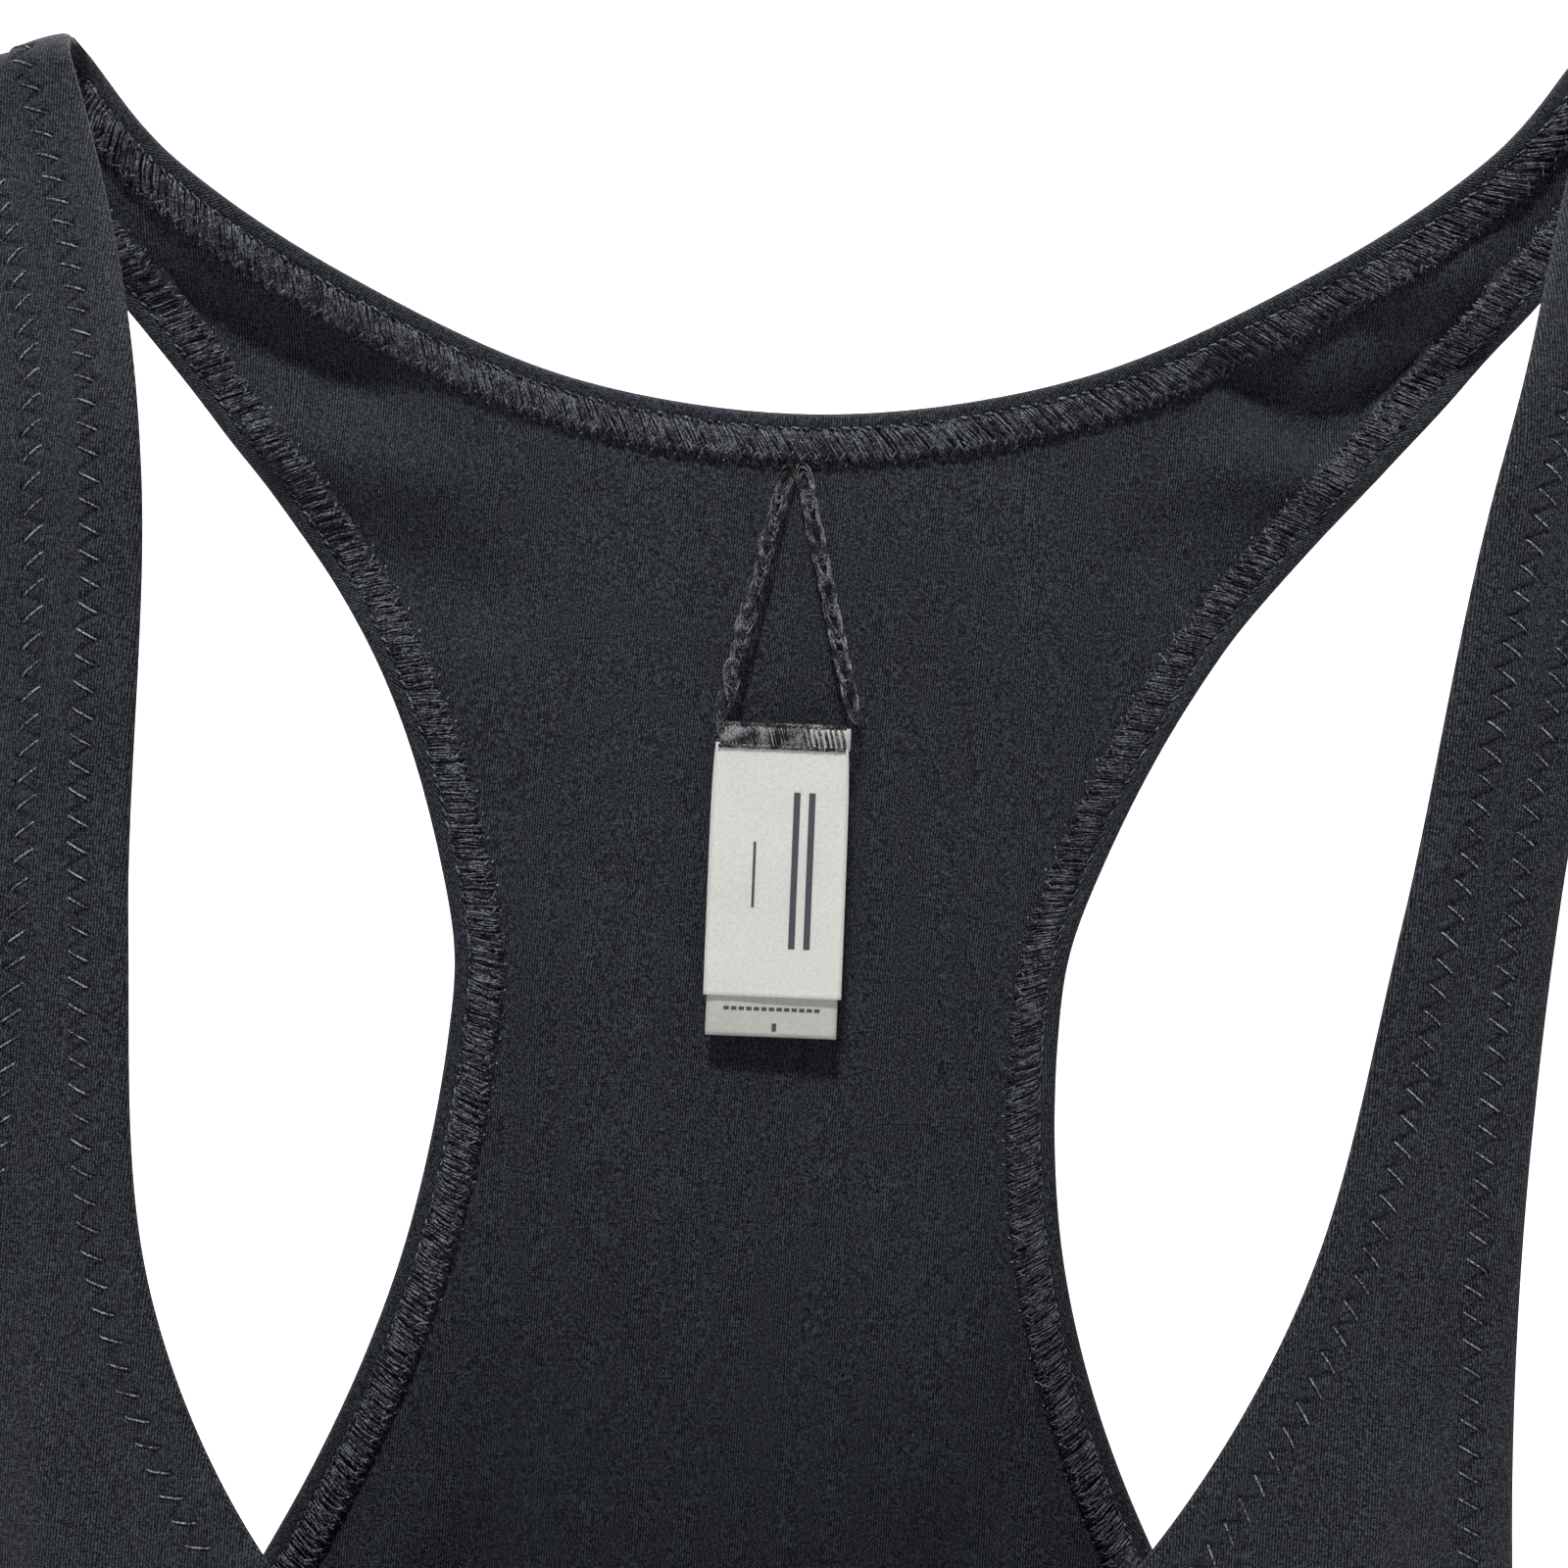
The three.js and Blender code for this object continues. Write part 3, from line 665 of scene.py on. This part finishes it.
def hem_strip(name, hem):
    section = np.array(HEM_SECTION)
    pitch = hem.length / round(hem.length / TOPSTITCH_PITCH)
    along = np.arange(hem.count) * hem.length / hem.count
    into = np.broadcast_to(section[:, 0], (len(along), len(section)))
    slack = zigzag(along, pitch)[:, None] * TOPSTITCH_WIDTH / 2
    across = into - TOPSTITCH_AT - slack
    sunk = (along / pitch % 1 < 0.5)[:, None]
    groove = np.where(sunk, 1.0, 0.25) * np.exp(-(across / GROOVE_WIDTH) ** 2)
    puff = PUFF_HEIGHT * (1 - np.exp(-(across / PUFF_WIDTH) ** 2)) * (into < 10.8)
    past_hole = into - TOPSTITCH_AT + TOPSTITCH_WIDTH / 2
    from_hole = np.hypot((along / pitch % 1 - 0.5)[:, None] * pitch, past_hole)
    groove = groove + HOLE_DEPTH * np.exp(-(from_hole / HOLE_RADIUS) ** 2)
    pressed = groove * (np.abs(into - TOPSTITCH_AT) < 2.6) - puff
    outer_side = section[:, 1] < 0
    depth = section[:, 1] + np.where(outer_side, pressed, 0)
    points = hem.points(along[:, None], into, depth)
    rows = sheet_faces(len(along), len(section), close_rows=True, close_columns=True)
    piece = mesh_piece(name, points.reshape(-1, 3), rows[:, ::-1])
    x, z, _ = hem.pattern(along[:, None], np.maximum(into, 0))
    edge_x, edge_z, _ = hem.pattern(along[:, None], 0 * into)
    turned = section[:, 2] / np.maximum(np.abs(section[:, 0]), 0.4)
    turned = np.where(outer_side, 1, turned)
    cut_x = edge_x + (x - edge_x) * turned
    cut_z = edge_z + (z - edge_z) * turned
    cut_map(piece, cut_x.ravel() * MM, cut_z.ravel() * MM)
    return piece


for name, hem in HEMS.items():
    strip = hem_strip(f"{name}_hem", hem)
    strip.data.materials.append(shell)
    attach(strip, "garment")

# ---- Swim elastic ----
# A flat braid of rubber and polyester, sewn to the edge under the overlocking and turned in
# with it. Its ribs run along the hem.

ELASTIC_RIB = 0.9
ELASTIC_FROM, ELASTIC_TO = 2.4, 8.9
ELASTIC_BED, ELASTIC_FACE = 0.7, 1.65
RIB_DEPTH = 0.25
ELASTIC_STEP = 1.6


def elastic_finish():
    finish = Finish("swim elastic", 0.8)
    at = finish.position()
    fibre = finish.noise(at, 1500, 3, 0.6)
    finish.coat(fibre, linear(8, 9, 13), linear(40, 43, 52), 0.7, fibre, 0.2)
    finish.bump(fibre, 0.0002, 0.8)
    return finish.material


def carried(name, line, along, into, depth, closed):
    """A section of the given places into the cloth and depths, carried along a hem or a seam."""
    points = line.points(along[:, None], into, depth)
    rows = sheet_faces(len(along), len(into), close_rows=closed, close_columns=True)
    return mesh_piece(name, points.reshape(-1, 3), rows)


def elastic_strip(name, hem):
    into = np.arange(ELASTIC_FROM, ELASTIC_TO + 0.01, ELASTIC_RIB / 2)
    ribs = np.where(np.arange(len(into)) % 2, ELASTIC_FACE, ELASTIC_FACE - RIB_DEPTH)
    into = np.r_[into, ELASTIC_TO, ELASTIC_FROM]
    depth = np.r_[ribs, ELASTIC_BED, ELASTIC_BED]
    along = np.arange(0, hem.length - ELASTIC_STEP / 2, ELASTIC_STEP)
    return carried(name, hem, along, into, depth, True)


braid = elastic_finish()
for name, hem in HEMS.items():
    elastic = elastic_strip(f"{name}_elastic_braid", hem)
    elastic.data.materials.append(braid)
    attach(elastic, "garment")
    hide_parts(f"{name}_elastic")

# ---- Overlocking ----
# Textured nylon thread, laid over the raw edge by an overlock machine. Each stitch is a
# bundle of crimped filaments slanting across the band, with a needle bead at the rim side.

STITCH_PITCH = 2.4
BAND_FROM, BAND_TO = 3.0, 9.4
BAND_BED = 1.55
FILAMENTS = 10
FILAMENT_RADIUS = 0.14
NECK_SLANT = 4.6
HEM_SLANT = 2.2
OUTWARDS = (0.0, 1.0, 0.02)
random = np.random.default_rng(7)


def thread_finish(name, dark, bright, share, glint_contrast=6.5):
    """Crimped nylon filaments, a dark thread with painted highlights over about this share of their length.
    """
    finish = Finish(name, 0.62, Sheen_Weight=0.04, Sheen_Roughness=0.4, Specular_IOR_Level=0.3)
    at = finish.position()
    fibre = finish.noise(at, 2600, 3, 0.65)
    lump = finish.noise(at, 420, 2, 0.5)
    # Painted highlights: the fibre and lump noise lift the dark thread colour towards the bright one.
    light = ((fibre - 0.5) * glint_contrast + (lump - 0.5) * 2.4 + share).clamped()
    finish.coat(light, dark, bright, 0.5, fibre, 0.25)
    finish.bump(fibre, 0.00012, 0.9)
    return finish.material


def threads(name, paths, radii, facing, sides):
    """Many round threads in one mesh. paths is threads by points by 3, in metres."""
    radii = np.broadcast_to(radii, paths.shape[:2])
    count, steps = paths.shape[:2]
    tangent = np.gradient(paths, axis=1)
    across = np.cross(tangent, facing)
    across /= np.maximum(np.linalg.norm(across, axis=-1, keepdims=True), 1e-12)
    up = np.cross(tangent, across)
    up /= np.maximum(np.linalg.norm(up, axis=-1, keepdims=True), 1e-12)
    angles = np.linspace(0, FULL_TURN, sides, endpoint=False)
    spokes = np.cos(angles)[:, None] * across[:, :, None] + np.sin(angles)[:, None] * up[:, :, None]
    rings = paths[:, :, None] + radii[..., None, None] * spokes
    starts = np.arange(count)[:, None, None] * steps * sides
    walls = (sheet_faces(steps, sides, close_columns=True)[None] + starts).reshape(-1, 4)
    ends = np.stack([np.arange(sides)[::-1], (steps - 1) * sides + np.arange(sides)])
    caps = (ends[None] + starts).reshape(-1, sides)
    return mesh_piece(name, rings.reshape(-1, 3), walls, caps)


def overlock(name, surface, length, slant, closed=True,
             width=BAND_TO - BAND_FROM, start=BAND_FROM, base=BAND_BED):
    """surface(along, into, depth) gives points; the stitches run over it from end to end."""
    stitches = round(length / STITCH_PITCH)
    pitch = length / stitches
    middle = (np.arange(stitches) + 0.5) * pitch
    share = np.linspace(0, 1, 6)

    def filament(shift, slope, spread, low, high, thick, crown):
        jitter = random.normal(0, 0.16, (stitches, 1))
        wander = np.cumsum(random.normal(0, 0.15, (stitches, len(share))), axis=1)
        reach = random.normal(0, spread, (stitches, 1))
        along = middle[:, None] + shift + jitter + slope * (share - 0.5) + wander
        into = start + width * (low + (high - low) * share) + reach * share
        arch = np.sin(np.clip(share, 0.02, 1) * math.pi) ** 0.6
        lift = crown * (1 + random.normal(0, 0.16, (stitches, 1))) * arch
        depth = base + 0.1 + lift + random.normal(0, 0.13, (stitches, len(share)))
        radius = thick * (1 + random.normal(0, 0.12, (stitches, len(share))))
        radius[:, [0, -1]] *= 0.55
        if not closed:
            along = np.clip(along, 0, length)
        return surface(along, into, depth), radius * MM

    bundles = []
    for strand in range(FILAMENTS):
        shift = (strand / FILAMENTS - 0.5) * pitch * 1.05
        lump = math.sin((strand + 0.5) / FILAMENTS * math.pi)
        bundles.append(filament(shift, slant, 0.2, 0.0, 0.9 + lump * 0.18, FILAMENT_RADIUS, 0.35 + lump))
    bundles.append(filament(0.2, -1.5, 0.1, 0.66, 1.05, 0.24, 0.95))
    bundles.append(filament(-0.5, 1.3, 0.1, 0.7, 1.08, 0.22, 0.85))
    bundles.append(filament(0.0, 1.9, 0.05, -0.02, 0.06, 0.27, 0.62))
    paths, radii = (np.vstack(made) for made in zip(*bundles))
    return threads(name, paths, radii, OUTWARDS, sides=3)


overlock_thread = thread_finish("overlock thread", linear(4, 5, 9), linear(112, 116, 126), 0.27)
for name, hem in HEMS.items():
    slant = NECK_SLANT if name == "neck" else HEM_SLANT
    band = overlock(f"{name}_overlocking", hem.points, hem.length, slant)
    band.data.materials.append(overlock_thread)
    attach(band, "garment")
    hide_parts(f"{name}_overlock")

# ---- Zigzag topstitch ----
# Outside, one zigzag thread holds the turned hem down. Each leg lies on the cloth and pulls
# a small hole where it goes through.

TOPSTITCH_RADIUS = 0.17


def topstitch(name, hem):
    corners = 2 * round(hem.length / TOPSTITCH_PITCH)
    pitch = hem.length / corners
    share = np.linspace(0, 1, 7)
    along = (np.arange(corners)[:, None] + share) * pitch
    into = TOPSTITCH_AT + zigzag(along, 2 * pitch) * TOPSTITCH_WIDTH / 2
    proud = -0.1 - 0.26 * np.sin(share * math.pi) ** 0.5 + 0.3 * (np.abs(share - 0.5) > 0.49)
    depth = proud - 0.12 + 0.75 * (np.arange(corners)[:, None] % 2 == 0)
    return threads(name, hem.points(along, into, depth), TOPSTITCH_RADIUS * MM, OUTWARDS, sides=6)


topstitch_thread = thread_finish("topstitch thread", linear(14, 15, 20), linear(138, 142, 152), 0.4)
for name, hem in HEMS.items():
    line = topstitch(f"{name}_topstitch", hem)
    line.data.materials.append(topstitch_thread)
    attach(line, "garment")

# ---- Seam allowances ----
# Inside, the side, shoulder and crotch seams are overlocked allowances pressed to the back.
# Each is the two cut edges of the cloth together, with the thread over them.

SEAM_WIDTH = 5.5
SEAM_STEPS = 80
FLAP_STEP = 1.5


class Allowance:
    """A seam's flap: steps along the fold between the panels, and into one panel."""

    def __init__(self, flat, face, into):
        spots = skin(flat[:, 0], flat[:, 1], face)
        self.run = np.r_[0, np.cumsum(np.linalg.norm(np.diff(spots, axis=0), axis=1))]
        self.length = self.run[-1]
        self.face = face
        self.rows = rows_into(flat[:, 0], flat[:, 1], face, *into)

    def points(self, along, into, depth):
        along, into = np.broadcast_arrays(np.asarray(along, float), np.asarray(into, float))
        column = np.interp(along, self.run, np.arange(len(self.run)))
        first = np.minimum(np.floor(column).astype(int), len(self.run) - 2)
        flat = between_rows(self.rows, first, first + 1, (column - first)[..., None], into)
        return place(flat[..., 0], flat[..., 1], self.face, depth)


SEAM_CLEARANCE = 10
side_heights = np.linspace(UNDERARM_Z - SEAM_CLEARANCE, HIP_Z + SEAM_CLEARANCE, 120)
SEAMS = {}
for side_name, side in (("left", 1), ("right", -1)):
    side_line = np.stack([side * half_width(side_heights), side_heights], -1)
    SEAMS[f"side_seam_{side_name}"] = Allowance(side_line, BACK, (-side, 0))
    strap_ends = (side * 146, SHOULDER_SLOPE * 10), (side * 166, -SHOULDER_SLOPE * 10)
    strap_line = np.linspace(*strap_ends, SEAM_STEPS)
    SEAMS[f"shoulder_seam_{side_name}"] = Allowance(strap_line, BACK, (0, -1))
crotch_line = np.linspace((-30, CROTCH_Z), (30, CROTCH_Z), SEAM_STEPS)
SEAMS["crotch_seam"] = Allowance(crotch_line, BACK, (0, 1))


def seam_flap(name, seam):
    into = np.array([0.3, 1.5, 3.0, 4.5, SEAM_WIDTH, SEAM_WIDTH, 3.0, 0.3])
    depth = np.array([0.7, 1.5, 1.6, 1.6, 1.4, 0.8, 0.7, 0.65])
    along = np.arange(0, seam.length, FLAP_STEP)
    return carried(name, seam, along, into, depth, False)


for name, seam in SEAMS.items():
    flap = seam_flap(f"{name}_flap", seam)
    flap.data.materials.append(braid)
    stitches = overlock(f"{name}_overlocking", seam.points, seam.length, HEM_SLANT, closed=False,
                        width=SEAM_WIDTH - 0.6, start=0.6, base=1.3)
    stitches.data.materials.append(overlock_thread)
    for piece in (flap, stitches):
        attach(piece, "garment")
    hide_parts(name)

# ---- Gusset lining ----
# Soft cotton jersey lines the crotch inside, caught in the crotch seam and the leg hems.
# Its upper edges lie free on the cloth.

LINING_TOP_Z = -640
LINING_DEPTH = 1.35
LINING_THICKNESS = 0.6
LINING_MARGIN = 5
LINING_ROWS, LINING_COLUMNS = 34, 41
LINING_ROUNDING = 5


def lining_finish():
    finish = Finish("cotton lining", 0.92, Sheen_Weight=0.3, Sheen_Roughness=0.6)
    height = knit(finish)
    fibre = finish.noise(finish.position(), 1700, 3, 0.65)
    # The colour rises a little with the knit loops' height: painted shade between the loops, over the
    # fibres' own random tone.
    light = (height * 0.2 + fibre * 1.4 - 0.3).clamped()
    finish.coat(light, linear(16, 17, 22), linear(62, 64, 72), 0.85, fibre, 0.12)
    finish.bump(height * 0.6 + fibre, 0.00014, 0.8)
    return finish.material


def rim_walls(shape):
    """Quads between the rims of two grids of this shape, one after the other in a mesh."""
    tall, wide = shape
    count = tall * wide
    ring = np.concatenate([np.arange(wide), np.arange(2 * wide - 1, count, wide),
                           np.arange(count - 2, count - wide - 1, -1),
                           np.arange(count - 2 * wide, 0, -wide)])
    following = np.roll(ring, -1)
    return np.stack([ring, following, following + count, ring + count], -1)


def lining(name, face, leg_knots):
    down = np.sin(np.linspace(0, math.pi / 2, LINING_ROWS))
    heights = LINING_TOP_Z + (CROTCH_Z + 0.6 - LINING_TOP_Z) * down
    leg = curve_through(leg_knots, 1.0)[::-1]
    reach = np.interp(heights, leg[:, 1], leg[:, 0]) - LINING_MARGIN
    across = np.linspace(-1, 1, LINING_COLUMNS)
    x = reach[:, None] * across[None, :]
    rounding = LINING_ROUNDING * (across[None, :] ** 2) * (1 - np.linspace(0, 1, LINING_ROWS)[:, None]) ** 2
    z = heights[:, None] + rounding
    near = place(x, z, face, LINING_DEPTH)
    far = place(x, z, face, LINING_DEPTH + LINING_THICKNESS)
    rows = sheet_faces(*x.shape)
    rows = rows if face == FRONT else rows[:, ::-1]
    walls = rim_walls(x.shape)
    walls = walls[:, ::-1] if face == FRONT else walls
    points = np.vstack([near.reshape(-1, 3), far.reshape(-1, 3)])
    piece = mesh_piece(name, points, rows[:, ::-1], rows + x.size, walls)
    cut_map(piece, np.tile(x.ravel(), 2) * MM, np.tile(z.ravel(), 2) * MM)
    return piece


cotton = lining_finish()
for name, face, leg_knots in (("back", BACK, BACK_LEG), ("front", FRONT, FRONT_LEG)):
    cloth = lining(f"gusset_lining_{name}", face, leg_knots)
    cloth.data.materials.append(cotton)
    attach(cloth, "garment")
    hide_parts("gusset_lining")

# ---- Label chains ----
# Two chains crocheted by the overlock machine from its own black thread hang from under the
# neck hem and carry the label. Each link is a loop of thin filaments through the one before.

CHAINS = {
    "left": ((-5.7, 27, -74), (4.1, 24, -121.8), 5.3, 0.10),
    "right": ((-9, 27, -74), (-21.8, 24, -121.8), 4.6, 0.26),
}
LINK_FILAMENTS = 5
LINK_POINTS = 26
WOBBLE_KNOTS = 5
OVERHANG = 2.4


def chain_threads(name, start, end, pitch, unruly):
    start, end = np.array(start, float), np.array(end, float)
    length = np.linalg.norm(end - start)
    down = (end - start) / length
    sideways = np.cross(down, (0, 1, 0))
    sideways /= np.linalg.norm(sideways)
    away = np.cross(sideways, down)
    links = round(length / pitch)
    pitch = length / links
    turn = np.linspace(0, FULL_TURN, LINK_POINTS)
    knots = np.linspace(0, FULL_TURN, WOBBLE_KNOTS + 1)
    paths, radii = [], []
    for link in range(links):
        middle = (link + 0.5) * pitch
        lean_out = (0.35 if link % 2 else 0.15) + random.normal(0, unruly)
        for filament in range(LINK_FILAMENTS):
            size = 1 - 0.6 * filament / LINK_FILAMENTS + random.normal(0, unruly * 0.3)
            along = middle - np.cos(turn) * pitch * 0.95 * size
            across = 1.5 * size * np.sin(turn) * (1 + 0.35 * np.cos(turn))
            across = across + lean_out * (along - middle) / pitch
            height = 0.8 * np.cos(turn) + 0.26 * np.sin(2 * turn) + 0.45 * (2 - filament) / 2
            wobble = random.normal(0, 0.05 + unruly * 0.3, (3, WOBBLE_KNOTS))
            drift = [np.interp(turn, knots, np.r_[w, w[0]]) for w in wobble]
            along = np.clip(along + drift[0], -OVERHANG, length + OVERHANG)
            line = (start + along[:, None] * down + (across + drift[1])[:, None] * sideways
                    + (height + drift[2])[:, None] * away)
            paths.append(line * MM)
            radii.append(random.uniform(0.08, 0.14) * MM)
    piece = threads(name, np.array(paths), np.array(radii)[:, None], (0.3, 1.0, 0.2), sides=5)
    route = start + np.linspace(0, 1, 30)[:, None] * (end - start)
    return piece, route * MM, length * MM


chain_thread = thread_finish("chain thread", linear(2, 2, 4), linear(146, 149, 154), 0.16, 2.5)
for name, (start, end, pitch, unruly) in CHAINS.items():
    chain, route, length = chain_threads(f"label_chain_{name}_thread", start, end, pitch, unruly)
    chain.data.materials.append(chain_thread)
    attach(chain, "label_chains")
    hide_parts(f"label_chain_{name}")

# ---- Label ----
# Two leaves of white satin tape, cut with a hot knife and caught at the top in an overlocked
# edge. The front leaf is thin enough to show the dark cloth behind it. Its print is plain bars.

LABEL_TOP = (-9.8, 24, -124.1)
LABEL_TURN = math.radians(2.3)
HEAD_WIDTH, HEAD_THICKNESS, HEAD_HEIGHT = 25, 2.4, 4.5
LEAF_TOP = -4.1
LEAF_THICKNESS = 0.22
LEAF_ROWS, LEAF_COLUMNS = 59, 29
BACK_LEAF = (26, 58, 0.4)
FRONT_LEAF = (27.3, 50, -0.4)


def on_label(right, behind, up):
    """Label coordinates, from the middle of its top edge, in metres in the frame."""
    right, behind, up = np.broadcast_arrays(*(np.asarray(v, float) for v in (right, behind, up)))
    x = LABEL_TOP[0] + right * math.cos(LABEL_TURN) + up * math.sin(LABEL_TURN)
    z = LABEL_TOP[2] - right * math.sin(LABEL_TURN) + up * math.cos(LABEL_TURN)
    return np.stack([x, LABEL_TOP[1] + behind, z], -1) * MM


def tape_curl(right, up, side):
    """How far a leaf bows out of its plane: its long edges and its free end curl a little."""
    free = np.clip((LEAF_TOP - up) / 50, 0, 1.2)
    return side * (0.25 * free * (np.abs(right) / 13) ** 3 + 0.18 * free ** 2 * np.sin(right / 6 + 1))


def slab(name, right, up, near, far):
    """A thin closed sheet over a grid of label coordinates, between two depths."""
    rows = sheet_faces(*right.shape)
    sides = [on_label(right, depth, up).reshape(-1, 3) for depth in (near, far)]
    walls = rim_walls(right.shape)
    return mesh_piece(name, np.vstack(sides), rows[:, ::-1], rows + right.size, walls)


def leaf(name, width, length, behind, side):
    across = np.linspace(-width / 2, width / 2, LEAF_COLUMNS)
    down = LEAF_TOP - np.linspace(0, 1, LEAF_ROWS) * length
    right, up = np.meshgrid(across, down)
    right = right * (1 - 0.04 * np.exp((up - LEAF_TOP) / 6))
    middle = behind + tape_curl(right, up, side)
    return slab(name, right, up, middle - LEAF_THICKNESS / 2, middle + LEAF_THICKNESS / 2)


def satin(name, bright, alpha):
    finish = Finish(name, 0.5, Sheen_Weight=0.1)
    at = finish.position()
    grain = finish.noise(at, 1500, 2, 0.6)
    cloud = finish.noise(at, 60, 2, 0.5)
    light = (grain * 0.8 + cloud * 0.4 - 0.1).clamped()
    low, high = (linear(bright + step, bright + step + 1, bright + step - 5) for step in (-26, 6))
    finish.coat(light, low, high, 0.42, grain, 0.25)
    if alpha < 1:
        finish.drive("Alpha", alpha + grain * 0.08)
    finish.bump(grain, 0.00008, 0.5)
    return finish.material


def ink(name, roughness, dark, bright):
    finish = Finish(name, roughness)
    grain = finish.noise(finish.position(), 2400, 2, 0.6)
    finish.coat(grain, dark, bright, roughness, grain, 0.2)
    return finish.material


INK_THICKNESS = 0.03
BLACK_INK = ("printing ink", 0.5, linear(36, 37, 41), linear(66, 67, 72))
FAINT_INK = ("care print ink", 0.55, linear(96, 97, 98), linear(120, 121, 122))


def bars(name, marks, behind, side):
    """Plain printed bars, each (middle right, middle up, width, height), in one mesh."""
    points, faces, start = [], [], 0
    for right_at, up_at, width, height in marks:
        across = np.linspace(-width / 2, width / 2, max(2, round(width) + 1)) + right_at
        down = up_at + np.linspace(height / 2, -height / 2, max(2, round(height) + 1))
        right, up = np.meshgrid(across, down)
        near = behind - LEAF_THICKNESS / 2 + tape_curl(right, up, side) - INK_THICKNESS
        for depth in (near, near + INK_THICKNESS):
            points.append(on_label(right, depth, up).reshape(-1, 3))
        rows = sheet_faces(*right.shape) + start
        faces += [rows[:, ::-1], rows + right.size]
        start += 2 * right.size
    return mesh_piece(name, np.vstack(points), *faces)


white_satin = satin("label satin", 226, 0.5)
# The tape is grey, darker than the front satin: partly painted shade where the back leaf hangs alone, and
# partly the dark cloth showing through the thin tape. The head tape shares it.
white_tape = satin("label tape", 169, 1)
back_leaf = leaf("label_back_leaf_tape", *BACK_LEAF, 1)
back_leaf.data.materials.append(white_tape)
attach(back_leaf, "label")
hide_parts("label_back_leaf")
front_leaf = leaf("label_front_leaf_satin", *FRONT_LEAF, -1)
front_leaf.data.materials.append(white_satin)
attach(front_leaf, "front_leaf")
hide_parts("label_front_leaf")

# Long plain bars stand for the large print, and short ones for the small print.
mark_bars = [(3.4, -29, 1.3, 31), (6.4, -29, 1.3, 31), (-4.6, -30, 0.55, 13)]
care_bars = [(column, -18 - 2.2 * row, 0.5, 1.3)
             for column in (-8, -6.6, 0.2, 9.2) for row in range(15)
             if (row * 5 + round(column)) % 7]
size_bars = [(-9 + 1.5 * step, -56.6, 1.1, 0.75) for step in range(13)] + [(0.6, -60.2, 0.9, 1.6)]
for name, marks, behind, side, tone, body in (
    ("label_mark_print", mark_bars, FRONT_LEAF[2], -1, BLACK_INK, "front_leaf"),
    ("label_care_print", care_bars, BACK_LEAF[2], 1, FAINT_INK, "label"),
    ("label_size_print", size_bars, BACK_LEAF[2], 1, BLACK_INK, "label"),
):
    printed = bars(name, marks, behind, side)
    printed.data.materials.append(ink(*tone))
    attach(printed, body)
    "label_satin" if body == "front_leaf" else "label_tape"

# ---- Label head ----
# The tape ends are folded over and overlocked, so slanted wraps of black thread run round
# them, with a looped edge above and below. Some white tape shows between the wraps.

WRAPS = 24
WRAP_RADIUS = 0.18
LOOP_POINTS, LOOP_PARTS = 15, 6
EDGE_STRANDS = 4


def head_tape():
    across = np.linspace(-HEAD_WIDTH / 2 + 0.3, HEAD_WIDTH / 2 + 1.0, 24)
    up = np.linspace(-0.5, -HEAD_HEIGHT - 0.4, 6)
    right, height = np.meshgrid(across, up)
    bulge = 0.75 * np.sqrt(np.clip(1 - ((height + 2.4) / 2.3) ** 2, 0.05, 1))
    return slab("label_head_tape", right, height, -bulge, bulge)


def head_wraps():
    turn = np.linspace(0, FULL_TURN, LOOP_POINTS)
    paths = []
    for wrap in range(WRAPS):
        share = (wrap + 0.5) / WRAPS
        middle = -HEAD_WIDTH / 2 + HEAD_WIDTH * (share * 0.93 + 0.07 * share ** 2)
        strands = 3 if share < 0.7 else 2
        for strand in range(strands):
            offset = (strand - (strands - 1) / 2) * 0.33 + random.normal(0, 0.07)
            up = -2.4 + 2.2 * np.cos(turn) + random.normal(0, 0.06, len(turn))
            behind = -1.02 * np.sin(turn) * (1 + 0.06 * strand)
            slant = -0.55 * np.cos(turn) * np.sign(np.sin(turn) + 1e-9)
            right = middle + offset + slant + random.normal(0, 0.05, len(turn))
            paths.append(on_label(right, behind, up))
    for height, bulge in ((-0.35, 0.5), (-4.7, 0.75)):
        for strand in range(EDGE_STRANDS):
            across = np.linspace(-HEAD_WIDTH / 2, HEAD_WIDTH / 2, LOOP_POINTS * LOOP_PARTS)
            wave = across / HEAD_WIDTH * WRAPS * FULL_TURN + strand * 1.7
            up = height + 0.34 * np.sin(wave) + random.normal(0, 0.05, len(across))
            behind = -bulge * (0.6 + 0.55 * np.cos(wave)) - 0.1 * strand
            for part in range(LOOP_PARTS):
                span = slice(LOOP_POINTS * part, LOOP_POINTS * (part + 1))
                paths.append(on_label(across[span], behind[span], up[span]))
    return threads("label_head_overlocking", np.array(paths), WRAP_RADIUS * MM, (0.7, 0.1, 0.7), sides=5)


head = head_tape()
head.data.materials.append(white_tape)
wraps = head_wraps()
wraps.data.materials.append(chain_thread)
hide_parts("label_head")
for piece, slot in ((head, "label_tape"), (wraps, "chain_thread")):
    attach(piece, "label")
